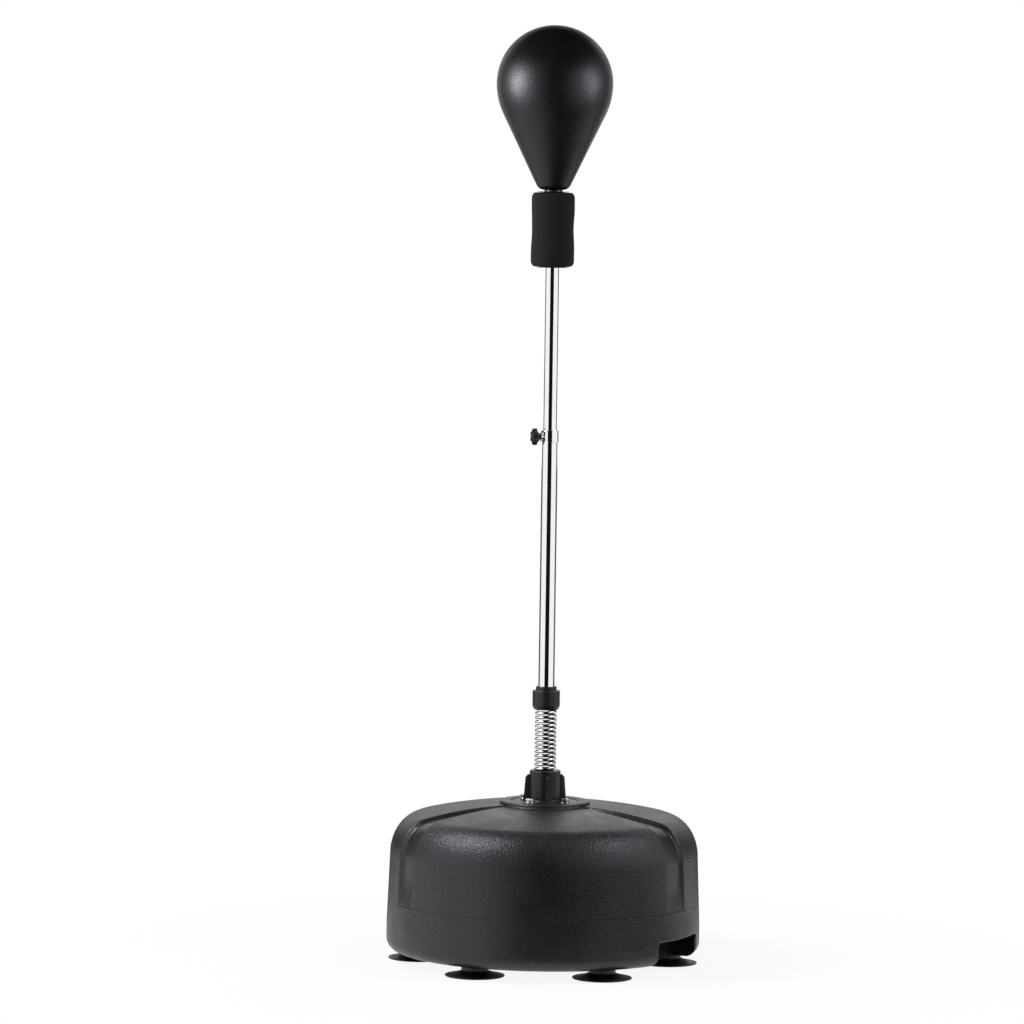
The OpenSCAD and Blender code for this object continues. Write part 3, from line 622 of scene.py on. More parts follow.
def blank(name):
    """A new material and its tree, with the shader's own node."""
    material = bpy.data.materials.new(name)
    material.use_nodes = True
    return material, material.node_tree, material.node_tree.nodes["Principled BSDF"]


def blend_colour(tree, mask, a, b):
    """Two colours mixed by a mask; each is a colour or a socket."""
    node = tree.nodes.new("ShaderNodeMix")
    node.data_type = "RGBA"
    for value, k in ((mask, 0), (a, 6), (b, 7)):
        feed(tree, value, node.inputs[k])
    return node.outputs[2]


def tint(colour, k):
    """A colour made lighter or darker."""
    return (*(part * k for part in colour[:3]), 1)


# Colour of dust on upward faces, which also serves as a painted sheen
DUST_AND_SHEEN_COLOUR = 0.22, 0.22, 0.22, 1
GLOSS_TINT = 0.92, 0.9, 1, 1


def moulded(name, colour, grain, depth, smooth, rough, specular=0.4, speckle=0.4, dust_and_sheen=0.0, wear=0.0,
            pit=0.6, bare="", sheen=0.0):
    """A dark moulded skin: plastic, rubber, foam or coated leather, by its grain and gloss."""
    material, tree, shader = blank(name)
    pebbles = effect(tree, pebble_grain, Size=grain, Speckle=speckle)
    tone = effect(tree, cloudy_tone, Size=0.045)["Tone"]
    shade = blend_colour(tree, pebbles["Pits"], tint(colour, 1.15), tint(colour, pit))
    shade = blend_colour(tree, maths(tree, "MULTIPLY", tone, 0.35), shade, tint(colour, 1.5))
    # Dust on faces that look up: partly real dust, partly a painted sheen that lightens the tank's crown
    if dust_and_sheen:
        shade = blend_colour(tree, effect(tree, dust_and_top_sheen, Amount=dust_and_sheen)["Dust"], shade, DUST_AND_SHEEN_COLOUR)
    if wear:
        shade = blend_colour(tree, effect(tree, rubbed_edges, Amount=wear)["Wear"], shade, tint(colour, 4))
    gloss = remap(tree, halfway(tree, pebbles["Pits"], tone), 0.1, 0.8, smooth, rough)
    height = pebbles["Height"]
    if bare:
        smoothed = maths(tree, "MULTIPLY", kept_value(tree, bare), 0.7)
        height = maths(tree, "MULTIPLY", height, maths(tree, "SUBTRACT", 1.0, smoothed))
        gloss = maths(tree, "SUBTRACT", gloss, maths(tree, "MULTIPLY", smoothed, 0.12))
    emboss(tree, shader, height, depth)
    for label, value in (("Base Color", shade), ("Roughness", gloss), ("Specular IOR Level", specular),
                         ("Specular Tint", GLOSS_TINT), ("Sheen Weight", sheen)):
        feed(tree, value, shader.inputs[label])
    return material


def plated(name, colour, smooth, rough, streak=0.6 * MM, depth=0.0, painted_gap_shade=""):
    """A metal: plated, drawn or machined, by its streaks and smudges, and with painted shade where a kept
    value marks it.
    """
    material, tree, shader = blank(name)
    lines = effect(tree, drawn_streaks, Size=streak)["Streak"]
    tone = effect(tree, cloudy_tone, Size=0.03)["Tone"]
    mixed = halfway(tree, lines, tone)
    shade = blend_colour(tree, mixed, colour, tint(colour, 0.93))
    # Painted shade: where the kept value is high the metal is drawn nearly black, in place of the shade
    # between coils
    if painted_gap_shade:
        shade = blend_colour(tree, kept_value(tree, painted_gap_shade), shade, tint(colour, 0.08))
    tree.links.new(shade, shader.inputs["Base Color"])
    tree.links.new(remap(tree, mixed, 0.1, 0.9, smooth, rough), shader.inputs["Roughness"])
    shader.inputs["Metallic"].default_value = 1
    if depth:
        emboss(tree, shader, lines, depth)
    return material


def finish(name):
    """One of the stand's finishes, made when a piece first asks for it."""
    if name in FINISHES:
        return FINISHES[name]
    scene = bpy.context.scene
    tank, pole, ball = scene.stand_tank, scene.stand_pole, scene.stand_ball
    black, shine = pole.plastic_colour, pole.chrome_roughness
    skins = {
        # The tank's dust amount also paints a light sheen on its crown
        "tank_plastic": (tank.colour, tank.grain_size, tank.grain_depth, 0.27, 0.46, {
            "specular": 0.6, "speckle": 1.0, "dust_and_sheen": 0.04, "wear": 0.2, "pit": 0.35, "bare": "plain"}),
        # Painted shade: the notch's inside is the tank's colour darkened, with little shine. Painted
        # highlight: its rim is the tank's colour made six times lighter
        "notch_plastic": (tint(tank.colour, 0.4), 1.5 * MM, 0.1 * MM, 0.6, 0.8, {"specular": 0.08}),
        "notch_rim": (tint(tank.colour, 6), 1.5 * MM, 0.1 * MM, 0.26, 0.4, {"specular": 0.6}),
        "cup_rubber": (tank.rubber_colour, 0.9 * MM, 0.03 * MM, 0.2, 0.42, {"specular": 0.45, "dust_and_sheen": 0.05}),
        "socket_plastic": (black, 0.7 * MM, 0.04 * MM, 0.24, 0.4, {
            "specular": 0.45, "dust_and_sheen": 0.05, "wear": 0.6}),
        "knob_plastic": (black, 0.6 * MM, 0.04 * MM, 0.26, 0.44, {"specular": 0.45, "wear": 0.4}),
        "plug_plastic": ((0.05, 0.05, 0.055), 0.8 * MM, 0.03 * MM, 0.35, 0.5, {}),
        "white_nylon": ((0.62, 0.6, 0.54), 0.8 * MM, 0.02 * MM, 0.4, 0.55, {"pit": 0.9}),
        "ball_leather": (ball.colour, ball.grain_size, 0.2 * MM, 0.3, 0.44, {"speckle": 1.0, "pit": 0.4}),
        "grip_foam": (ball.foam_colour, ball.pore_size, 0.22 * MM, 0.8, 0.95, {
            "specular": 0.18, "speckle": 1.2, "sheen": 0.02}),
    }
    metals = {
        "chrome": (pole.chrome_colour, shine, shine + 0.06, {}),
        # The spring's wire is drawn dark by painted shade in the gaps between its coils
        "spring_wire": (pole.chrome_colour, 0.1, 0.2, {"painted_gap_shade": "between"}),
        "zinc_steel": ((0.62, 0.62, 0.64, 1), 0.16, 0.34, {"streak": 0.9 * MM, "depth": 0.02 * MM}),
        "brass": ((0.72, 0.53, 0.24, 1), 0.24, 0.4, {"streak": 1 * MM}),
    }
    maker, rows = (moulded, skins) if name in skins else (plated, metals)
    *values, more = rows[name]
    FINISHES[name] = maker(name, *values, **more)
    return FINISHES[name]


# Pieces

class STAND_OT_studio(bpy.types.Operator):
    """Sets the camera, the lamps, the floor and the cards that the metal reflects"""
    bl_idname = "stand.studio"
    bl_label = "Studio"

    def execute(self, context):
        s = context.scene.stand_studio
        self.camera(context, s)
        self.lamp("left_softbox", s.azimuth - LAMP_TURN, s.left_power)
        self.lamp("right_softbox", s.azimuth + LAMP_TURN, s.right_power)
        self.world(context)
        self.floor(s)
        high = [(CARD_R, 0), (CARD_R, CARD_R)]
        low = [(CARD_R, 0), (CARD_R, LOW_CARD_TOP)]
        ground = [(GROUND_R, GROUND_Z), (CARD_R - 10, GROUND_Z)]
        for name, turn, width, line, shade in (
                ("front_card", 0, 58, high, BLACK), ("left_card", -124.5, 31, high, GREY),
                ("left_low_card", -159, 38, low, GREY), ("right_card", 124.5, 31, high, GREY),
                ("right_low_card", 159, 38, low, GREY), ("ground_card", 33, 112, ground, DARK),
                ("back_ground_card", 180, 80, ground, DARK)):
            self.card(name, s.azimuth + math.radians(turn), math.radians(width), line, shade)
        self.ceiling()
        context.scene.view_settings.view_transform = "Standard"
        return {"FINISHED"}

    def camera(self, context, s):
        right = Vector((math.cos(s.azimuth), math.sin(s.azimuth), 0))
        place = Vector((math.sin(s.azimuth) * s.distance, -math.cos(s.azimuth) * s.distance, s.height))
        aim = Vector((0, 0, s.aim_height)) - right * s.aim_side
        deselect()
        bpy.ops.object.camera_add(location=place)
        camera = bpy.context.object
        look = (aim - place).to_track_quat("-Z", "Y") @ Quaternion((0, 0, 1), s.roll)
        camera.rotation_euler = look.to_euler()
        camera.data.lens = s.lens
        camera.data.sensor_width = 36
        context.scene.camera = camera

    def lamp(self, name, azimuth, power):
        place = Vector((math.sin(azimuth) * LAMP_OUT, -math.cos(azimuth) * LAMP_OUT, LAMP_Z)) * MM
        aim = Vector((0, 0, LAMP_AIM_Z * MM))
        lamp = added(name, bpy.ops.object.light_add, type="AREA", location=place)
        lamp.rotation_euler = (aim - place).to_track_quat("-Z", "Y").to_euler()
        lamp.data.shape = "RECTANGLE"
        lamp.data.size = LAMP_W * MM
        lamp.data.size_y = LAMP_H * MM
        lamp.data.energy = power
        lamp.visible_camera = False

    def world(self, context):
        world = bpy.data.worlds.new("studio")
        context.scene.world = world
        world.use_nodes = True
        tree = world.node_tree
        soft = tree.nodes["Background"]
        soft.inputs["Color"].default_value = WHITE
        soft.inputs["Strength"].default_value = SOFT_LIGHT
        white = self.coloured(tree, "ShaderNodeBackground", WHITE)
        self.mix(tree, self.seen(tree), soft, white, "World Output")

    def coloured(self, tree, kind, colour):
        """A shader node of one colour."""
        node = tree.nodes.new(kind)
        node.inputs["Color"].default_value = colour
        return node

    def mix(self, tree, mask, low, high, output):
        """Two shader nodes mixed by a mask into the tree's output."""
        both = tree.nodes.new("ShaderNodeMixShader")
        for k, value in enumerate((mask, low.outputs[0], high.outputs[0])):
            tree.links.new(value, both.inputs[k])
        tree.links.new(both.outputs[0], tree.nodes[output].inputs["Surface"])

    def seen(self, tree):
        """1 for rays from the camera, from gloss and through glass."""
        path = tree.nodes.new("ShaderNodeLightPath").outputs
        straight = maths(tree, "MAXIMUM", path["Is Camera Ray"], path["Is Glossy Ray"])
        return maths(tree, "MAXIMUM", straight, path["Is Transmission Ray"])

    def floor(self, s):
        """A pale floor that keeps a soft shadow and runs out to white."""
        floor = added("floor", bpy.ops.mesh.primitive_circle_add, vertices=128, radius=FLOOR_R * MM,
                      fill_type="NGON")
        material, tree, shader = blank("floor_white")
        tree.nodes.remove(shader)
        matt = self.coloured(tree, "ShaderNodeBsdfDiffuse", s.floor_colour)
        glow = self.coloured(tree, "ShaderNodeEmission", WHITE)
        reach = tree.nodes.new("ShaderNodeVectorMath")
        reach.operation = "LENGTH"
        tree.links.new(own_place(tree), reach.inputs[0])
        fade = remap(tree, reach.outputs["Value"], 0.3, 0.9, 0.9, 1.0)
        self.mix(tree, maths(tree, "MULTIPLY", self.seen(tree), fade), matt, glow, "Material Output")
        floor.data.materials.append(material)

    def card(self, name, azimuth, width, line, shade):
        """A card swept round the stand that only reflections see."""
        card = swept(name, line, 24, width)
        self.paint(moved(card, about(azimuth - math.pi / 2 + width / 2)), shade)

    def ceiling(self):
        card = added("ceiling_card", bpy.ops.mesh.primitive_circle_add, vertices=64, radius=CARD_R * MM,
                     fill_type="NGON")
        self.paint(moved(card, about(0, up=CEILING_Z)), DARK)

    def paint(self, card, shade):
        material, tree, shader = blank(card.name + "_grey")
        tree.nodes.remove(shader)
        glow = self.coloured(tree, "ShaderNodeEmission", (shade, shade, shade, 1))
        tree.links.new(glow.outputs[0], tree.nodes["Material Output"].inputs["Surface"])
        card.data.materials.append(material)
        card.visible_camera = False
        card.visible_shadow = False
        card.visible_diffuse = False


class STAND_OT_tank_top(bpy.types.Operator):
    """Upper half of the tank: three lobes, three channels, a round platform and the filler's well"""
    bl_idname = "stand.tank_top"
    bl_label = "Tank top"

    def execute(self, context):
        s = context.scene.stand_tank
        top = self.shell(s)
        hole = turned("filler_hole", [
            (0, 190, 0), (WELL_HOLE_R, 190, 0), (WELL_HOLE_R, 280, 0), (0, 280, 0)], 64)
        cut_away(top, moved(hole, AT_FILLER))
        settle(top, "base", "tank", "tank_plastic", "base_top_shell", crease=50)
        settle(self.well(), "base", "tank", "tank_plastic", crease=40)
        return {"FINISHED"}

    def outline(self):
        line = [(wall_r(SEAM_Z + up) - inset, SEAM_Z + up)
                for up, inset in ((0, 0.7), (0.3, 0.2), (0.8, 0), (2, 0), (6, 0))]
        line += [(wall_r(z), z) for z in (115, 132, 150)]
        line += [shoulder(CROWN_TURN * k / 28) for k in range(29)]
        line += [(r, crown_z(r)) for r in (192, 184, 176, 160, 144, 128, 112, 98, 87, 79)]
        line += [tuple(p) for p in soften([(76, crown_z(76), 0), (PLATFORM_R, PLATFORM_FOOT_Z + 0.2, 2.5),
                                           (PLATFORM_R, PLATFORM_Z, 2.2), (FLANGE_R + 0.5, PLATFORM_Z, 1),
                                           (FLANGE_R + 0.3, SOCKET_Z, 0.8), (44, SOCKET_Z, 0)], 4)]
        return line + [(20, SOCKET_Z), (0, SOCKET_Z)]

    def shell(self, s):
        top = draw("tank_top", self.outline())
        for steps, degrees in ((4, 2.5), (22, 5), (42, 105), (22, 5), (4, 2.5)):
            spin(steps, math.radians(degrees))
        bpy.ops.mesh.select_all(action="SELECT")
        spin(2, TAU * 2 / 3, dupli=True)
        close_up()
        self.press_channels(top, s)
        return modified(top, "SOLIDIFY", thickness=WALL * MM, offset=-1)

    def press_channels(self, top, s):
        """Presses three channels into the shell, and keeps how plain the grain is there and on the crown."""
        plain = top.data.attributes.new("plain", "FLOAT", "POINT")
        third = TAU / 3
        for vertex in top.data.vertices:
            x, y, z = vertex.co / MM
            r = math.hypot(x, y)
            plain.data[vertex.index].value = 0.4 * ease((CROWN_R + 12 - r) / 20)
            if r < PLATFORM_R - 3:
                continue
            a = math.atan2(y, x)
            off = (a + third / 2) % third - third / 2
            side = abs(r * math.sin(off))
            half = r * math.sin(s.channel_half)
            roll = min(s.channel_round / MM, 0.42 * half)
            sunk = ease((half + roll - side) / (1.7 * roll))
            sunk *= 0.2 + 0.8 * ease((z - SEAM_Z) / 30)
            if r < PLATFORM_R + 1 or z > PLATFORM_FOOT_Z + 1:
                sunk *= ease((PLATFORM_FOOT_Z + 5 - z) / 3)
            if sunk <= 0:
                continue
            if z <= SHOULDER_Z:
                out, up = 1, 0
            elif r >= CROWN_R:
                out = (r - SHOULDER_R + SHOULDER_OUT) / SHOULDER_OUT ** 2
                up = (z - SHOULDER_Z) / SHOULDER_UP ** 2
            else:
                out, up = CROWN_SLOPE * (r - PLATFORM_R) / (CROWN_R - PLATFORM_R), 1
            move = sunk * s.channel_depth / math.hypot(out, up)
            vertex.co -= Vector((x / r * out, y / r * out, up)) * move
            plain.data[vertex.index].value = max(plain.data[vertex.index].value, sunk)

    def well(self):
        """Pocket and neck of the filler; its rim follows the slope of the crown."""
        rim = crown_z(FILLER_R)
        under = FILLER_FLOOR_Z - WALL
        well = turned("filler_well", [
            (NECK_BORE_R, under, 0), (NECK_BORE_R, FILLER_LIP_Z, 0.7), (NECK_R, FILLER_LIP_Z, 0.7),
            (NECK_R, FILLER_FLOOR_Z, 1.5), (WELL_R, FILLER_FLOOR_Z, 3), (WELL_R, rim + 0.2, 1.6),
            (WELL_OUT_R, rim + 0.2, 0.8), (WELL_OUT_R, under, 1), (NECK_BORE_R, under, 0)], 72)
        moved(well, AT_FILLER)
        for vertex in well.data.vertices:
            x, y, z = vertex.co / MM
            if math.hypot(x - FILLER[0], y - FILLER[1]) > 24:
                lift = crown_z(math.hypot(x, y)) - rim
                vertex.co.z += lift * ease((z - FILLER_FLOOR_Z - 4) / 10) * MM
        return well


class STAND_OT_tank_bottom(bpy.types.Operator):
    """Lower half of the tank with its hand notch"""
    bl_idname = "stand.tank_bottom"
    bl_label = "Tank bottom"

    def execute(self, context):
        rim = [(wall_r(SEAM_Z - down), SEAM_Z - down, 0) for down in (14, 5, 2, 0.8)]
        bottom = turned("tank_bottom", [
            (0, UNDER_Z, 0), (200, UNDER_Z, 0), (BASE_R, UNDER_Z, 18), (BASE_R, BELT_Z, 60), *rim,
            (wall_r(SEAM_Z) - 0.05, SEAM_Z - 0.15, 0), (wall_r(SEAM_Z) - 0.25, SEAM_Z, 0),
            (225, SEAM_Z, 0), (0, SEAM_Z, 0)], 240)
        cut_away(bottom, self.notch())
        settle(bottom, "base", "tank", "tank_plastic", "base_bottom_shell", crease=40)
        self.paint_notch(bottom)
        return {"FINISHED"}

    def paint_notch(self, bottom):
        """Gives the notch's inside a darkened matt skin as painted shade, and its rounded rim a lightened
        one as a painted highlight.
        """
        for skin in ("notch_plastic", "notch_rim"):
            bottom.data.materials.append(finish(skin))
        turn = Matrix.Rotation(-NOTCH_TURN, 3, "Z")
        # Faces inside the notch take the painted shade; faces on its flared rim take the painted highlight
        for face in bottom.data.polygons:
            x, y, z = turn @ face.center / MM
            flare = max(abs(y) - NOTCH_HALF, z - UNDER_Z - NOTCH_H)
            if x < 150 or flare > 3.5 or z < UNDER_Z + 0.5:
                continue
            outward = face.normal.to_2d().normalized().dot(face.center.to_2d().normalized())
            if flare < 0.1 and BASE_R - math.hypot(x, y) > 1:
                face.material_index = 1
            elif flare > -4 and abs(outward) < 0.999:
                face.material_index = 2

    def notch(self):
        """Body of the hand notch, which flares out softly where it meets the wall."""
        def section(half, top, corner, deep):
            line = [(-half, UNDER_Z - 6), (-half, UNDER_Z + 4), (-half, UNDER_Z + 14)]
            for side, start in ((-1, 180), (1, 90)):
                line += [(side * (half - corner) + corner * math.cos(math.radians(start - 9 * k)),
                          top - corner + corner * math.sin(math.radians(start - 9 * k))) for k in range(11)]
                if side < 0:
                    line += [(y, top) for y in (-24, -12, 0, 12, 24)]
            line += [(half, UNDER_Z + 14), (half, UNDER_Z + 4), (half, UNDER_Z - 6)]
            line += [(y, UNDER_Z - 6) for y in (24, 0, -24)]
            return [(math.sqrt(BASE_R ** 2 - y ** 2) - deep, y, z) for y, z in line]

        rings = []
        for k in range(7):
            turn = math.pi / 2 * k / 6
            rings.append(section(NOTCH_HALF - NOTCH_CORNER * (1 - math.sin(turn)), UNDER_Z + NOTCH_H,
                                 NOTCH_CORNER, NOTCH_DEPTH - NOTCH_CORNER * (1 - math.cos(turn))))
        for deep, grow in ((12, 0), (2.6, 0), (1.5, 0.25), (0.7, 0.8), (0.2, 1.6), (-0.1, 2.6), (-24, 3.4)):
            rings.append(section(NOTCH_HALF + grow, UNDER_Z + NOTCH_H + grow, NOTCH_CORNER + grow, deep))
        return moved(lofted("notch_body", rings), about(NOTCH_TURN))


class STAND_OT_cups(bpy.types.Operator):
    """Six rubber suction cups under the tank"""
    bl_idname = "stand.cups"
    bl_label = "Suction cups"

    def execute(self, context):
        flare = [(CUP_R - (CUP_R - CUP_NECK_R) * t, 1.9 + 6.8 * t ** 1.6, 0)
                 for t in [k / 14 for k in range(1, 14)]]
        pattern = turned("cup", [
            (0, 7, 0), (10, 7, 4), (40.5, 0.5, 1), (41.5, 0, 0.4), (45.2, 0, 0.5), (CUP_R, 0.9, 0.5),
            (45.6, 1.9, 0.3), *flare, (CUP_NECK_R, 8.7, 2.5), (CUP_NECK_R, UNDER_Z - 1.2, 0.8),
            (20, UNDER_Z, 0.6), (0, UNDER_Z, 0)], 80)
        places = [about(TAU / CUPS * (k + 0.5), CUP_RING_R) for k in range(CUPS)]
        for k, cup in enumerate(copies(pattern, "rubber_cup", places), 1):
            settle(cup, "base", "cup_rubber", "cup_rubber", f"suction_cup_{k}")
        return {"FINISHED"}


class STAND_OT_socket(bpy.types.Operator):
    """Flanged socket with four fins, its bolts and washers"""
    bl_idname = "stand.socket"
    bl_label = "Socket"

    def execute(self, context):
        sleeve = turned("socket_sleeve", [
            (0, SOCKET_Z, 0), (FLANGE_R, SOCKET_Z, 0.5), (FLANGE_R, FLANGE_Z, 1.6), (24.3, FLANGE_Z, 3),
            (24, SOCKET_TOP_Z, 1.3), (SPRING_BORE, SOCKET_TOP_Z, 1), (SPRING_BORE, SOCKET_Z + 4, 0),
            (0, SOCKET_Z + 4, 0)])
        fin = plate("fin", [
            (18.5, FLANGE_Z - 2, 0), (34, FLANGE_Z - 2, 0), (33.3, FLANGE_Z + 1, 1),
            (30.6, SOCKET_TOP_Z - 11, 1.8), (27, SOCKET_TOP_Z - 6.5, 1.5),
            (18.5, SOCKET_TOP_Z - 6.5, 0)], 5, 0.9)
        fins = copies(fin, "fin", [about(FIN_TURN + TAU / FINS * k) for k in range(FINS)])
        body = joined("socket_body", [sleeve, *fins])
        settle(body, "base", "socket_plastic", "socket_plastic", "pole_socket")
        self.bolts()
        return {"FINISHED"}

    def bolts(self):
        head_z, head_h, foot = FLANGE_Z + 1.6, 5.3, SOCKET_Z - 19.8
        head = added("bolt_head", bpy.ops.mesh.primitive_cylinder_add, vertices=6, radius=6.9 * MM,
                     depth=head_h * MM)
        bevelled(moved(head, about(0, up=head_z + head_h / 2)), 0.7, 3)
        dome = turned("bolt_dome", [
            (0, head_z + 2, 0), (5.6, head_z + 2, 0), (5.6, head_z + 5.45, 0.4), (0, head_z + 5.55, 0)], 32)
        shank = turned("bolt_shank", [
            (0, foot, 0), (4, foot, 0.8), (4, head_z + 1, 0), (0, head_z + 1, 0)], 24)
        bolt = joined("bolt", [head, dome, shank])
        washer = turned("washer", [
            (4.1, FLANGE_Z, 0), (8, FLANGE_Z, 0.3), (8, head_z, 0.6), (4.1, head_z, 0.2),
            (4.1, FLANGE_Z, 0)], 48)
        places = [about(FIN_TURN + TAU / FINS * (k + 0.5), BOLT_R) for k in range(FINS)]
        for pattern, name, node in (
                (bolt, "flange_bolts", "socket_bolts"), (washer, "flange_washers", "socket_washers")):
            settle(joined(name, copies(pattern, name, places)), "base", "chrome", "zinc_steel", node)


class STAND_OT_spring(bpy.types.Operator):
    """Coil spring in two lengths, and the cap on its top end"""
    bl_idname = "stand.spring"
    bl_label = "Spring and cap"

    def execute(self, context):
        s = context.scene.stand_pole
        middle = (SOCKET_TOP_Z + CAP_Z) / 2
        low, high = SPRING_Z0 + 2 * s.wire / MM, SPRING_Z1 - 2 * s.wire / MM
        pitch = (high - low) / s.spring_turns
        halves = (("spring_lower", low, middle, "base", "spring", SOCKET_TOP_Z, middle),
                  ("spring_upper", middle, high, "spring", "lower_pole", middle, CAP_Z))
        for name, start, end, lower, upper, blend_low, blend_high in halves:
            coil = self.coil(name, s, start, end, COIL_TURN + TAU * (start - low) / pitch, pitch)
            settle(coil, None, "chrome", "spring_wire", "spring", crease=60)
            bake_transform(coil)
        cap = turned("spring_cup", [
            (SPRING_BORE, CAP_Z, 0), (18.9, CAP_Z, 0.5), (21.3, CAP_Z + 5.4, 1.2), (21.3, CAP_Z + 29.4, 1.4),
            (16, CAP_Z + 29.4, 0.5), (16, CAP_TOP_Z, 1.2), (12.6, CAP_TOP_Z, 0.4), (12.6, LOWER_Z0, 0),
            (SPRING_BORE, LOWER_Z0, 0), (SPRING_BORE, CAP_Z, 0)])
        settle(cap, "lower_pole", "cap_plastic", "socket_plastic", "spring_cap")
        return {"FINISHED"}

    def coil(self, name, s, start, end, turn, pitch):
        """One length of round wire wound up the pole from a circle of its section."""
        piece = added(name, bpy.ops.mesh.primitive_circle_add, vertices=18, radius=s.wire / 2,
                      fill_type="NGON")
        lean = math.atan2(pitch, TAU * COIL_R)
        moved(piece, about(0, COIL_R) @ Matrix.Rotation(math.pi / 2 + lean, 4, "X"))
        turns = (end - start) / pitch
        steps = int(48 * turns)
        modified(piece, "SCREW", angle=TAU * turns, screw_offset=(end - start) * MM, steps=steps,
                 render_steps=steps, use_normal_calculate=True)
        bpy.ops.object.mode_set(mode="EDIT")
        bpy.ops.mesh.select_all(action="DESELECT")
        bpy.ops.mesh.select_non_manifold()
        bpy.ops.mesh.fill_holes(sides=0)
        close_up()
        # Painted shade between the coils: faces that look up or down at the next coil, and the inner side of
        # the coil, are marked to be drawn dark
        shade = piece.data.attributes.new("between", "FLOAT", "POINT")
        for vertex in piece.data.vertices:
            inward = COIL_R + 0.5 - math.hypot(vertex.co.x, vertex.co.y) / MM
            level = (abs(vertex.normal.z) - 0.6) / 0.3
            shade.data[vertex.index].value = max(ease(level), ease(inward / 1.2))
        return moved(piece, about(turn, up=start))


class STAND_OT_pole(bpy.types.Operator):
    """Two chromed tubes, the clamp ring and its threaded boss"""
    bl_idname = "stand.pole"
    bl_label = "Pole"

    def execute(self, context):
        for name, node, body, bore, radius, low, high in (
                ("tube_lower", "lower_tube", "lower_pole", 11.3, 12.5, LOWER_Z0, LOWER_Z1),
                ("tube_upper", "upper_tube", "upper_pole", 9.8, 11, UPPER_Z0, UPPER_Z1)):
            tube = turned(name, [
                (bore, low, 0), (radius, low, 0.3), (radius, high, 0.4), (bore, high, 0.3),
                (bore, low, 0)], 128)
            settle(tube, body, "chrome", "chrome", node)
        ring = turned("ring", [
            (12.6, RING_Z0, 0), (14, RING_Z0, 0.5), (14, RING_Z1, 0.9), (11.3, RING_Z1, 0.4),
            (11.3, LOWER_Z1 + 0.1, 0), (12.6, LOWER_Z1 + 0.1, 0), (12.6, RING_Z0, 0)])
        settle(ring, "lower_pole", "chrome", "chrome", "clamp_ring")
        boss = turned("boss", [
            (4.05, 12.3, 0), (6.5, 12.3, 0), (6.5, 16, 0.7), (4.05, 16, 0.4), (4.05, 12.3, 0)], 48)
        settle(moved(boss, ALONG_CLAMP), "lower_pole", "chrome", "chrome", "clamp_boss")
        return {"FINISHED"}


class STAND_OT_knob(bpy.types.Operator):
    """Star knob with six lobes and a tapered hub"""
    bl_idname = "stand.knob"
    bl_label = "Knob"

    def execute(self, context):
        def star(k):
            return lambda a: k * (KNOB_R + KNOB_LOBE * (0.5 + 0.5 * math.cos(KNOB_LOBES * a)) ** 0.75)

        hub = (4.1, 16.6), (5.2, 16.6), (5.5, 16.9), (7.4, 20.9), (7.9, 21.2)
        lobes = ((0.93, 21.2), (0.98, 21.6), (1, 22.4), (1, 27.3), (0.98, 28.1), (0.93, 28.55),
                 (0.84, 28.7))
        dish = (6.4, 28.65), (5.9, 28.3), (5.2, 28.3), (4.6, 28.7), (0.6, 28.7)
        rings = [*hub, *((star(k), up) for k, up in lobes), *dish]
        knob = moved(lofted("star_knob", [circle(r, up) for r, up in rings]), ALONG_CLAMP)
        settle(knob, "clamp_knob", "knob_plastic", "knob_plastic", "clamp_knob", crease=45)
        return {"FINISHED"}


class STAND_OT_grip(bpy.types.Operator):
    """Foam sleeve with two soft bulges and a waist"""
    bl_idname = "stand.grip"
    bl_label = "Foam grip"

    def execute(self, context):
        length = GRIP_Z1 - GRIP_Z0
        side = []
        for k in range(33):
            t = k / 32
            swell = 0.5 - 0.5 * math.cos(TAU * min(abs(t - 0.5) * 1.1, 0.5))
            bulge = 1.3 if t < 0.5 else 1.1
            side.append((GRIP_R + bulge * swell, GRIP_Z0 + GRIP_END + (length - 2 * GRIP_END) * t, 0))
        corners = [(11.1, GRIP_Z0 + 0.6, 0), (12.4, GRIP_Z0, 0.5), (side[0][0], GRIP_Z0, 9.5), *side,
                   (side[-1][0], GRIP_Z1, 9.5), (12.4, GRIP_Z1, 0.5), (11.1, GRIP_Z1 - 0.6, 0)]
        grip = lofted("grip_sleeve", [self.soft_ring(k, *point) for k, point in enumerate(soften(corners))])
        settle(grip, "upper_pole", "foam", "grip_foam", "foam_grip", crease=80)
        return {"FINISHED"}

    def soft_ring(self, k, out, up):
        """A ring that is a little out of round, as foam is."""
        soft = 0.25 if out > 25 else 0

        def around(a):
            return out + soft * math.sin(2 * a + 0.21 * k) * math.sin(3 * a + 1.7 - 0.13 * k)

        return circle(around, up, 112)


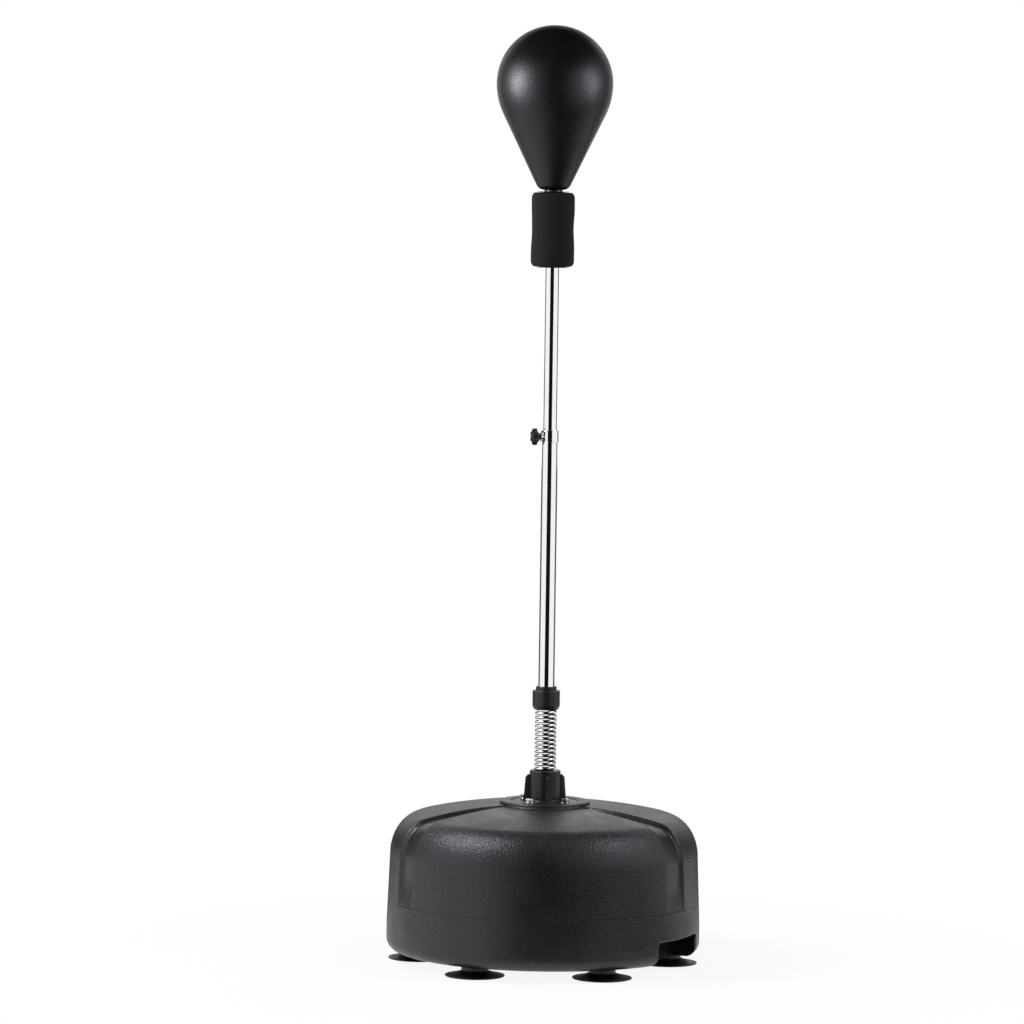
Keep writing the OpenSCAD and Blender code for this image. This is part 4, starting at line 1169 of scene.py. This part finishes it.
class STAND_OT_ball(bpy.types.Operator):
    """Teardrop ball with its neck and inflation valve"""
    bl_idname = "stand.ball"
    bl_label = "Ball"

    def execute(self, context):
        slope = math.tan(BALL_TAPER)
        middle = BALL_Z1 - BALL_R
        reach = math.hypot(BALL_R, slope * BALL_DROP)
        start = math.asin(slope * BALL_DROP / reach)
        low = middle - BALL_DROP * math.sin(start)
        foot = BALL_Z0 + 12

        def taper(z):
            return reach - slope * (middle - z), z

        corners = [(0, BALL_Z0 + 0.4, 0), (4, BALL_Z0 + 0.4, 0), (*taper(BALL_Z0), 13)]
        corners += [(*taper(foot + (low - foot) * k / 10), 0) for k in range(1, 10)]
        corners += [(BALL_R * math.cos(a), middle + BALL_DROP * math.sin(a), 0)
                    for a in [-start * (1 - k / 12) for k in range(12)]]
        corners += [(BALL_R * math.cos(a), middle + BALL_R * math.sin(a), 0)
                    for a in [math.pi / 2 * k / 30 for k in range(30)]] + [(0, BALL_Z1, 0)]
        ball = turned("ball", corners, 144)
        settle(ball, "upper_pole", "ball_leather", "ball_leather", "ball_skin", crease=70)
        neck = turned("neck", [
            (5.1, UPPER_Z1, 0), (14.25, UPPER_Z1, 0.5), (13.9, BALL_Z0 + 0.2, 0.3), (11.2, BALL_Z0 + 3, 0),
            (11.2, BALL_Z0 + 25, 0), (5.1, BALL_Z0 + 25, 0), (5.1, UPPER_Z1, 0)], 72)
        settle(neck, "upper_pole", "cap_plastic", "knob_plastic", "ball_neck")
        valve = turned("needle_valve", [
            (0, -3.2, 0), (0.9, -3.2, 0), (1.1, 0.15, 0.3), (3.4, 0.55, 0.6), (5, 0.1, 0.4), (5.1, -0.8, 0),
            (4, -1.5, 0), (4, -6, 0), (0, -6, 0)], 48)
        tilt = Matrix.Rotation(math.pi / 2 + BALL_TAPER, 4, "Y")
        place = about(VALVE_TURN, *taper(middle - VALVE_DROP)) @ tilt
        settle(moved(valve, place), "upper_pole", "cup_rubber", "cup_rubber", "ball_valve")
        return {"FINISHED"}


class STAND_OT_filler(bpy.types.Operator):
    """Ribbed screw cap of the filler"""
    bl_idname = "stand.filler"
    bl_label = "Filler cap"

    def execute(self, context):
        def ribs(a):
            return FILLER_CAP_R - FILLER_RIB * (0.5 + 0.5 * math.cos(FILLER_RIBS * a)) ** 2

        foot = FILLER_FLOOR_Z + 2
        top = FILLER_TOP_Z
        rings = ((0.5, top - 3), (17.6, top - 3), (18.3, top - 3.6), (18.3, foot), (20.3, foot),
                 (ribs, foot + 0.7), (ribs, top - 2), (20.6, top - 0.7), (19.9, top - 0.1), (19.2, top),
                 (15.8, top), (0.5, top))
        cap = lofted("filler_lid", [circle(r, up, 160) for r, up in rings])
        bar = plate("filler_bar", [
            (-15.3, top - 1, 0), (15.3, top - 1, 0), (14.3, top + 2, 1.2), (-14.3, top + 2, 1.2)], 6, 0.8)
        lid = moved(joined("filler_lid", [cap, bar]), AT_FILLER)
        settle(lid, "filler_cap", "socket_plastic", "socket_plastic", "filler_cap", crease=45)
        return {"FINISHED"}


class STAND_OT_hardware(bpy.types.Operator):
    """Finishes of the solids that stay as they are, inside the stand"""
    bl_idname = "stand.hardware"
    bl_label = "Inner hardware"

    def execute(self, context):
        finishes = {
            "zinc_steel": ("cup_studs", "seat_screw", "clamp_screw", "top_plug", "ball_stud"),
            "brass": ("cup_inserts", "socket_inserts", "seat_insert"),
            "plug_plastic": ("spring_seat", "spring_plug", "tube_glide"),
            "white_nylon": ("clamp_shoe",),
            "cup_rubber": ("ball_bladder", "filler_seal"),
        }
        for skin, nodes in finishes.items():
            for name in nodes:
                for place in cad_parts[name].material_slots:
                    place.material = finish(skin)
        return {"FINISHED"}


OPERATORS = (STAND_OT_studio, STAND_OT_tank_top, STAND_OT_tank_bottom, STAND_OT_cups, STAND_OT_socket,
             STAND_OT_spring, STAND_OT_pole, STAND_OT_knob, STAND_OT_grip, STAND_OT_ball, STAND_OT_filler,
             STAND_OT_hardware)


class STAND_PT_pieces(bpy.types.Panel):
    """Lists the pieces of the stand and their settings"""
    bl_idname = "STAND_PT_pieces"
    bl_label = "Reflex ball stand"
    bl_space_type = "VIEW_3D"
    bl_region_type = "UI"
    bl_category = "Stand"

    def draw(self, context):
        for settings in SETTINGS:
            box = self.layout.box()
            group_of = getattr(context.scene, settings)
            for label in group_of.__annotations__:
                box.prop(group_of, label)
        for operator in OPERATORS:
            self.layout.operator(operator.bl_idname)


SETTINGS = {"stand_tank": TankSettings, "stand_pole": PoleSettings, "stand_ball": BallSettings,
            "stand_studio": StudioSettings}


def register():
    for kind in (*SETTINGS.values(), *OPERATORS, STAND_PT_pieces):
        bpy.utils.register_class(kind)
    for label, kind in SETTINGS.items():
        setattr(bpy.types.Scene, label, bpy.props.PointerProperty(type=kind))


def unregister():
    for label in SETTINGS:
        delattr(bpy.types.Scene, label)
    for kind in (STAND_PT_pieces, *reversed(OPERATORS), *reversed(SETTINGS.values())):
        bpy.utils.unregister_class(kind)


def main():
    register()
    bpy.ops.stand.studio()
    bpy.ops.stand.tank_top()
    bpy.ops.stand.tank_bottom()
    bpy.ops.stand.cups()
    bpy.ops.stand.socket()
    bpy.ops.stand.spring()
    bpy.ops.stand.pole()
    bpy.ops.stand.knob()
    bpy.ops.stand.grip()
    bpy.ops.stand.ball()
    bpy.ops.stand.filler()
    bpy.ops.stand.hardware()
    deselect()


if __name__ == "__main__":
    main()
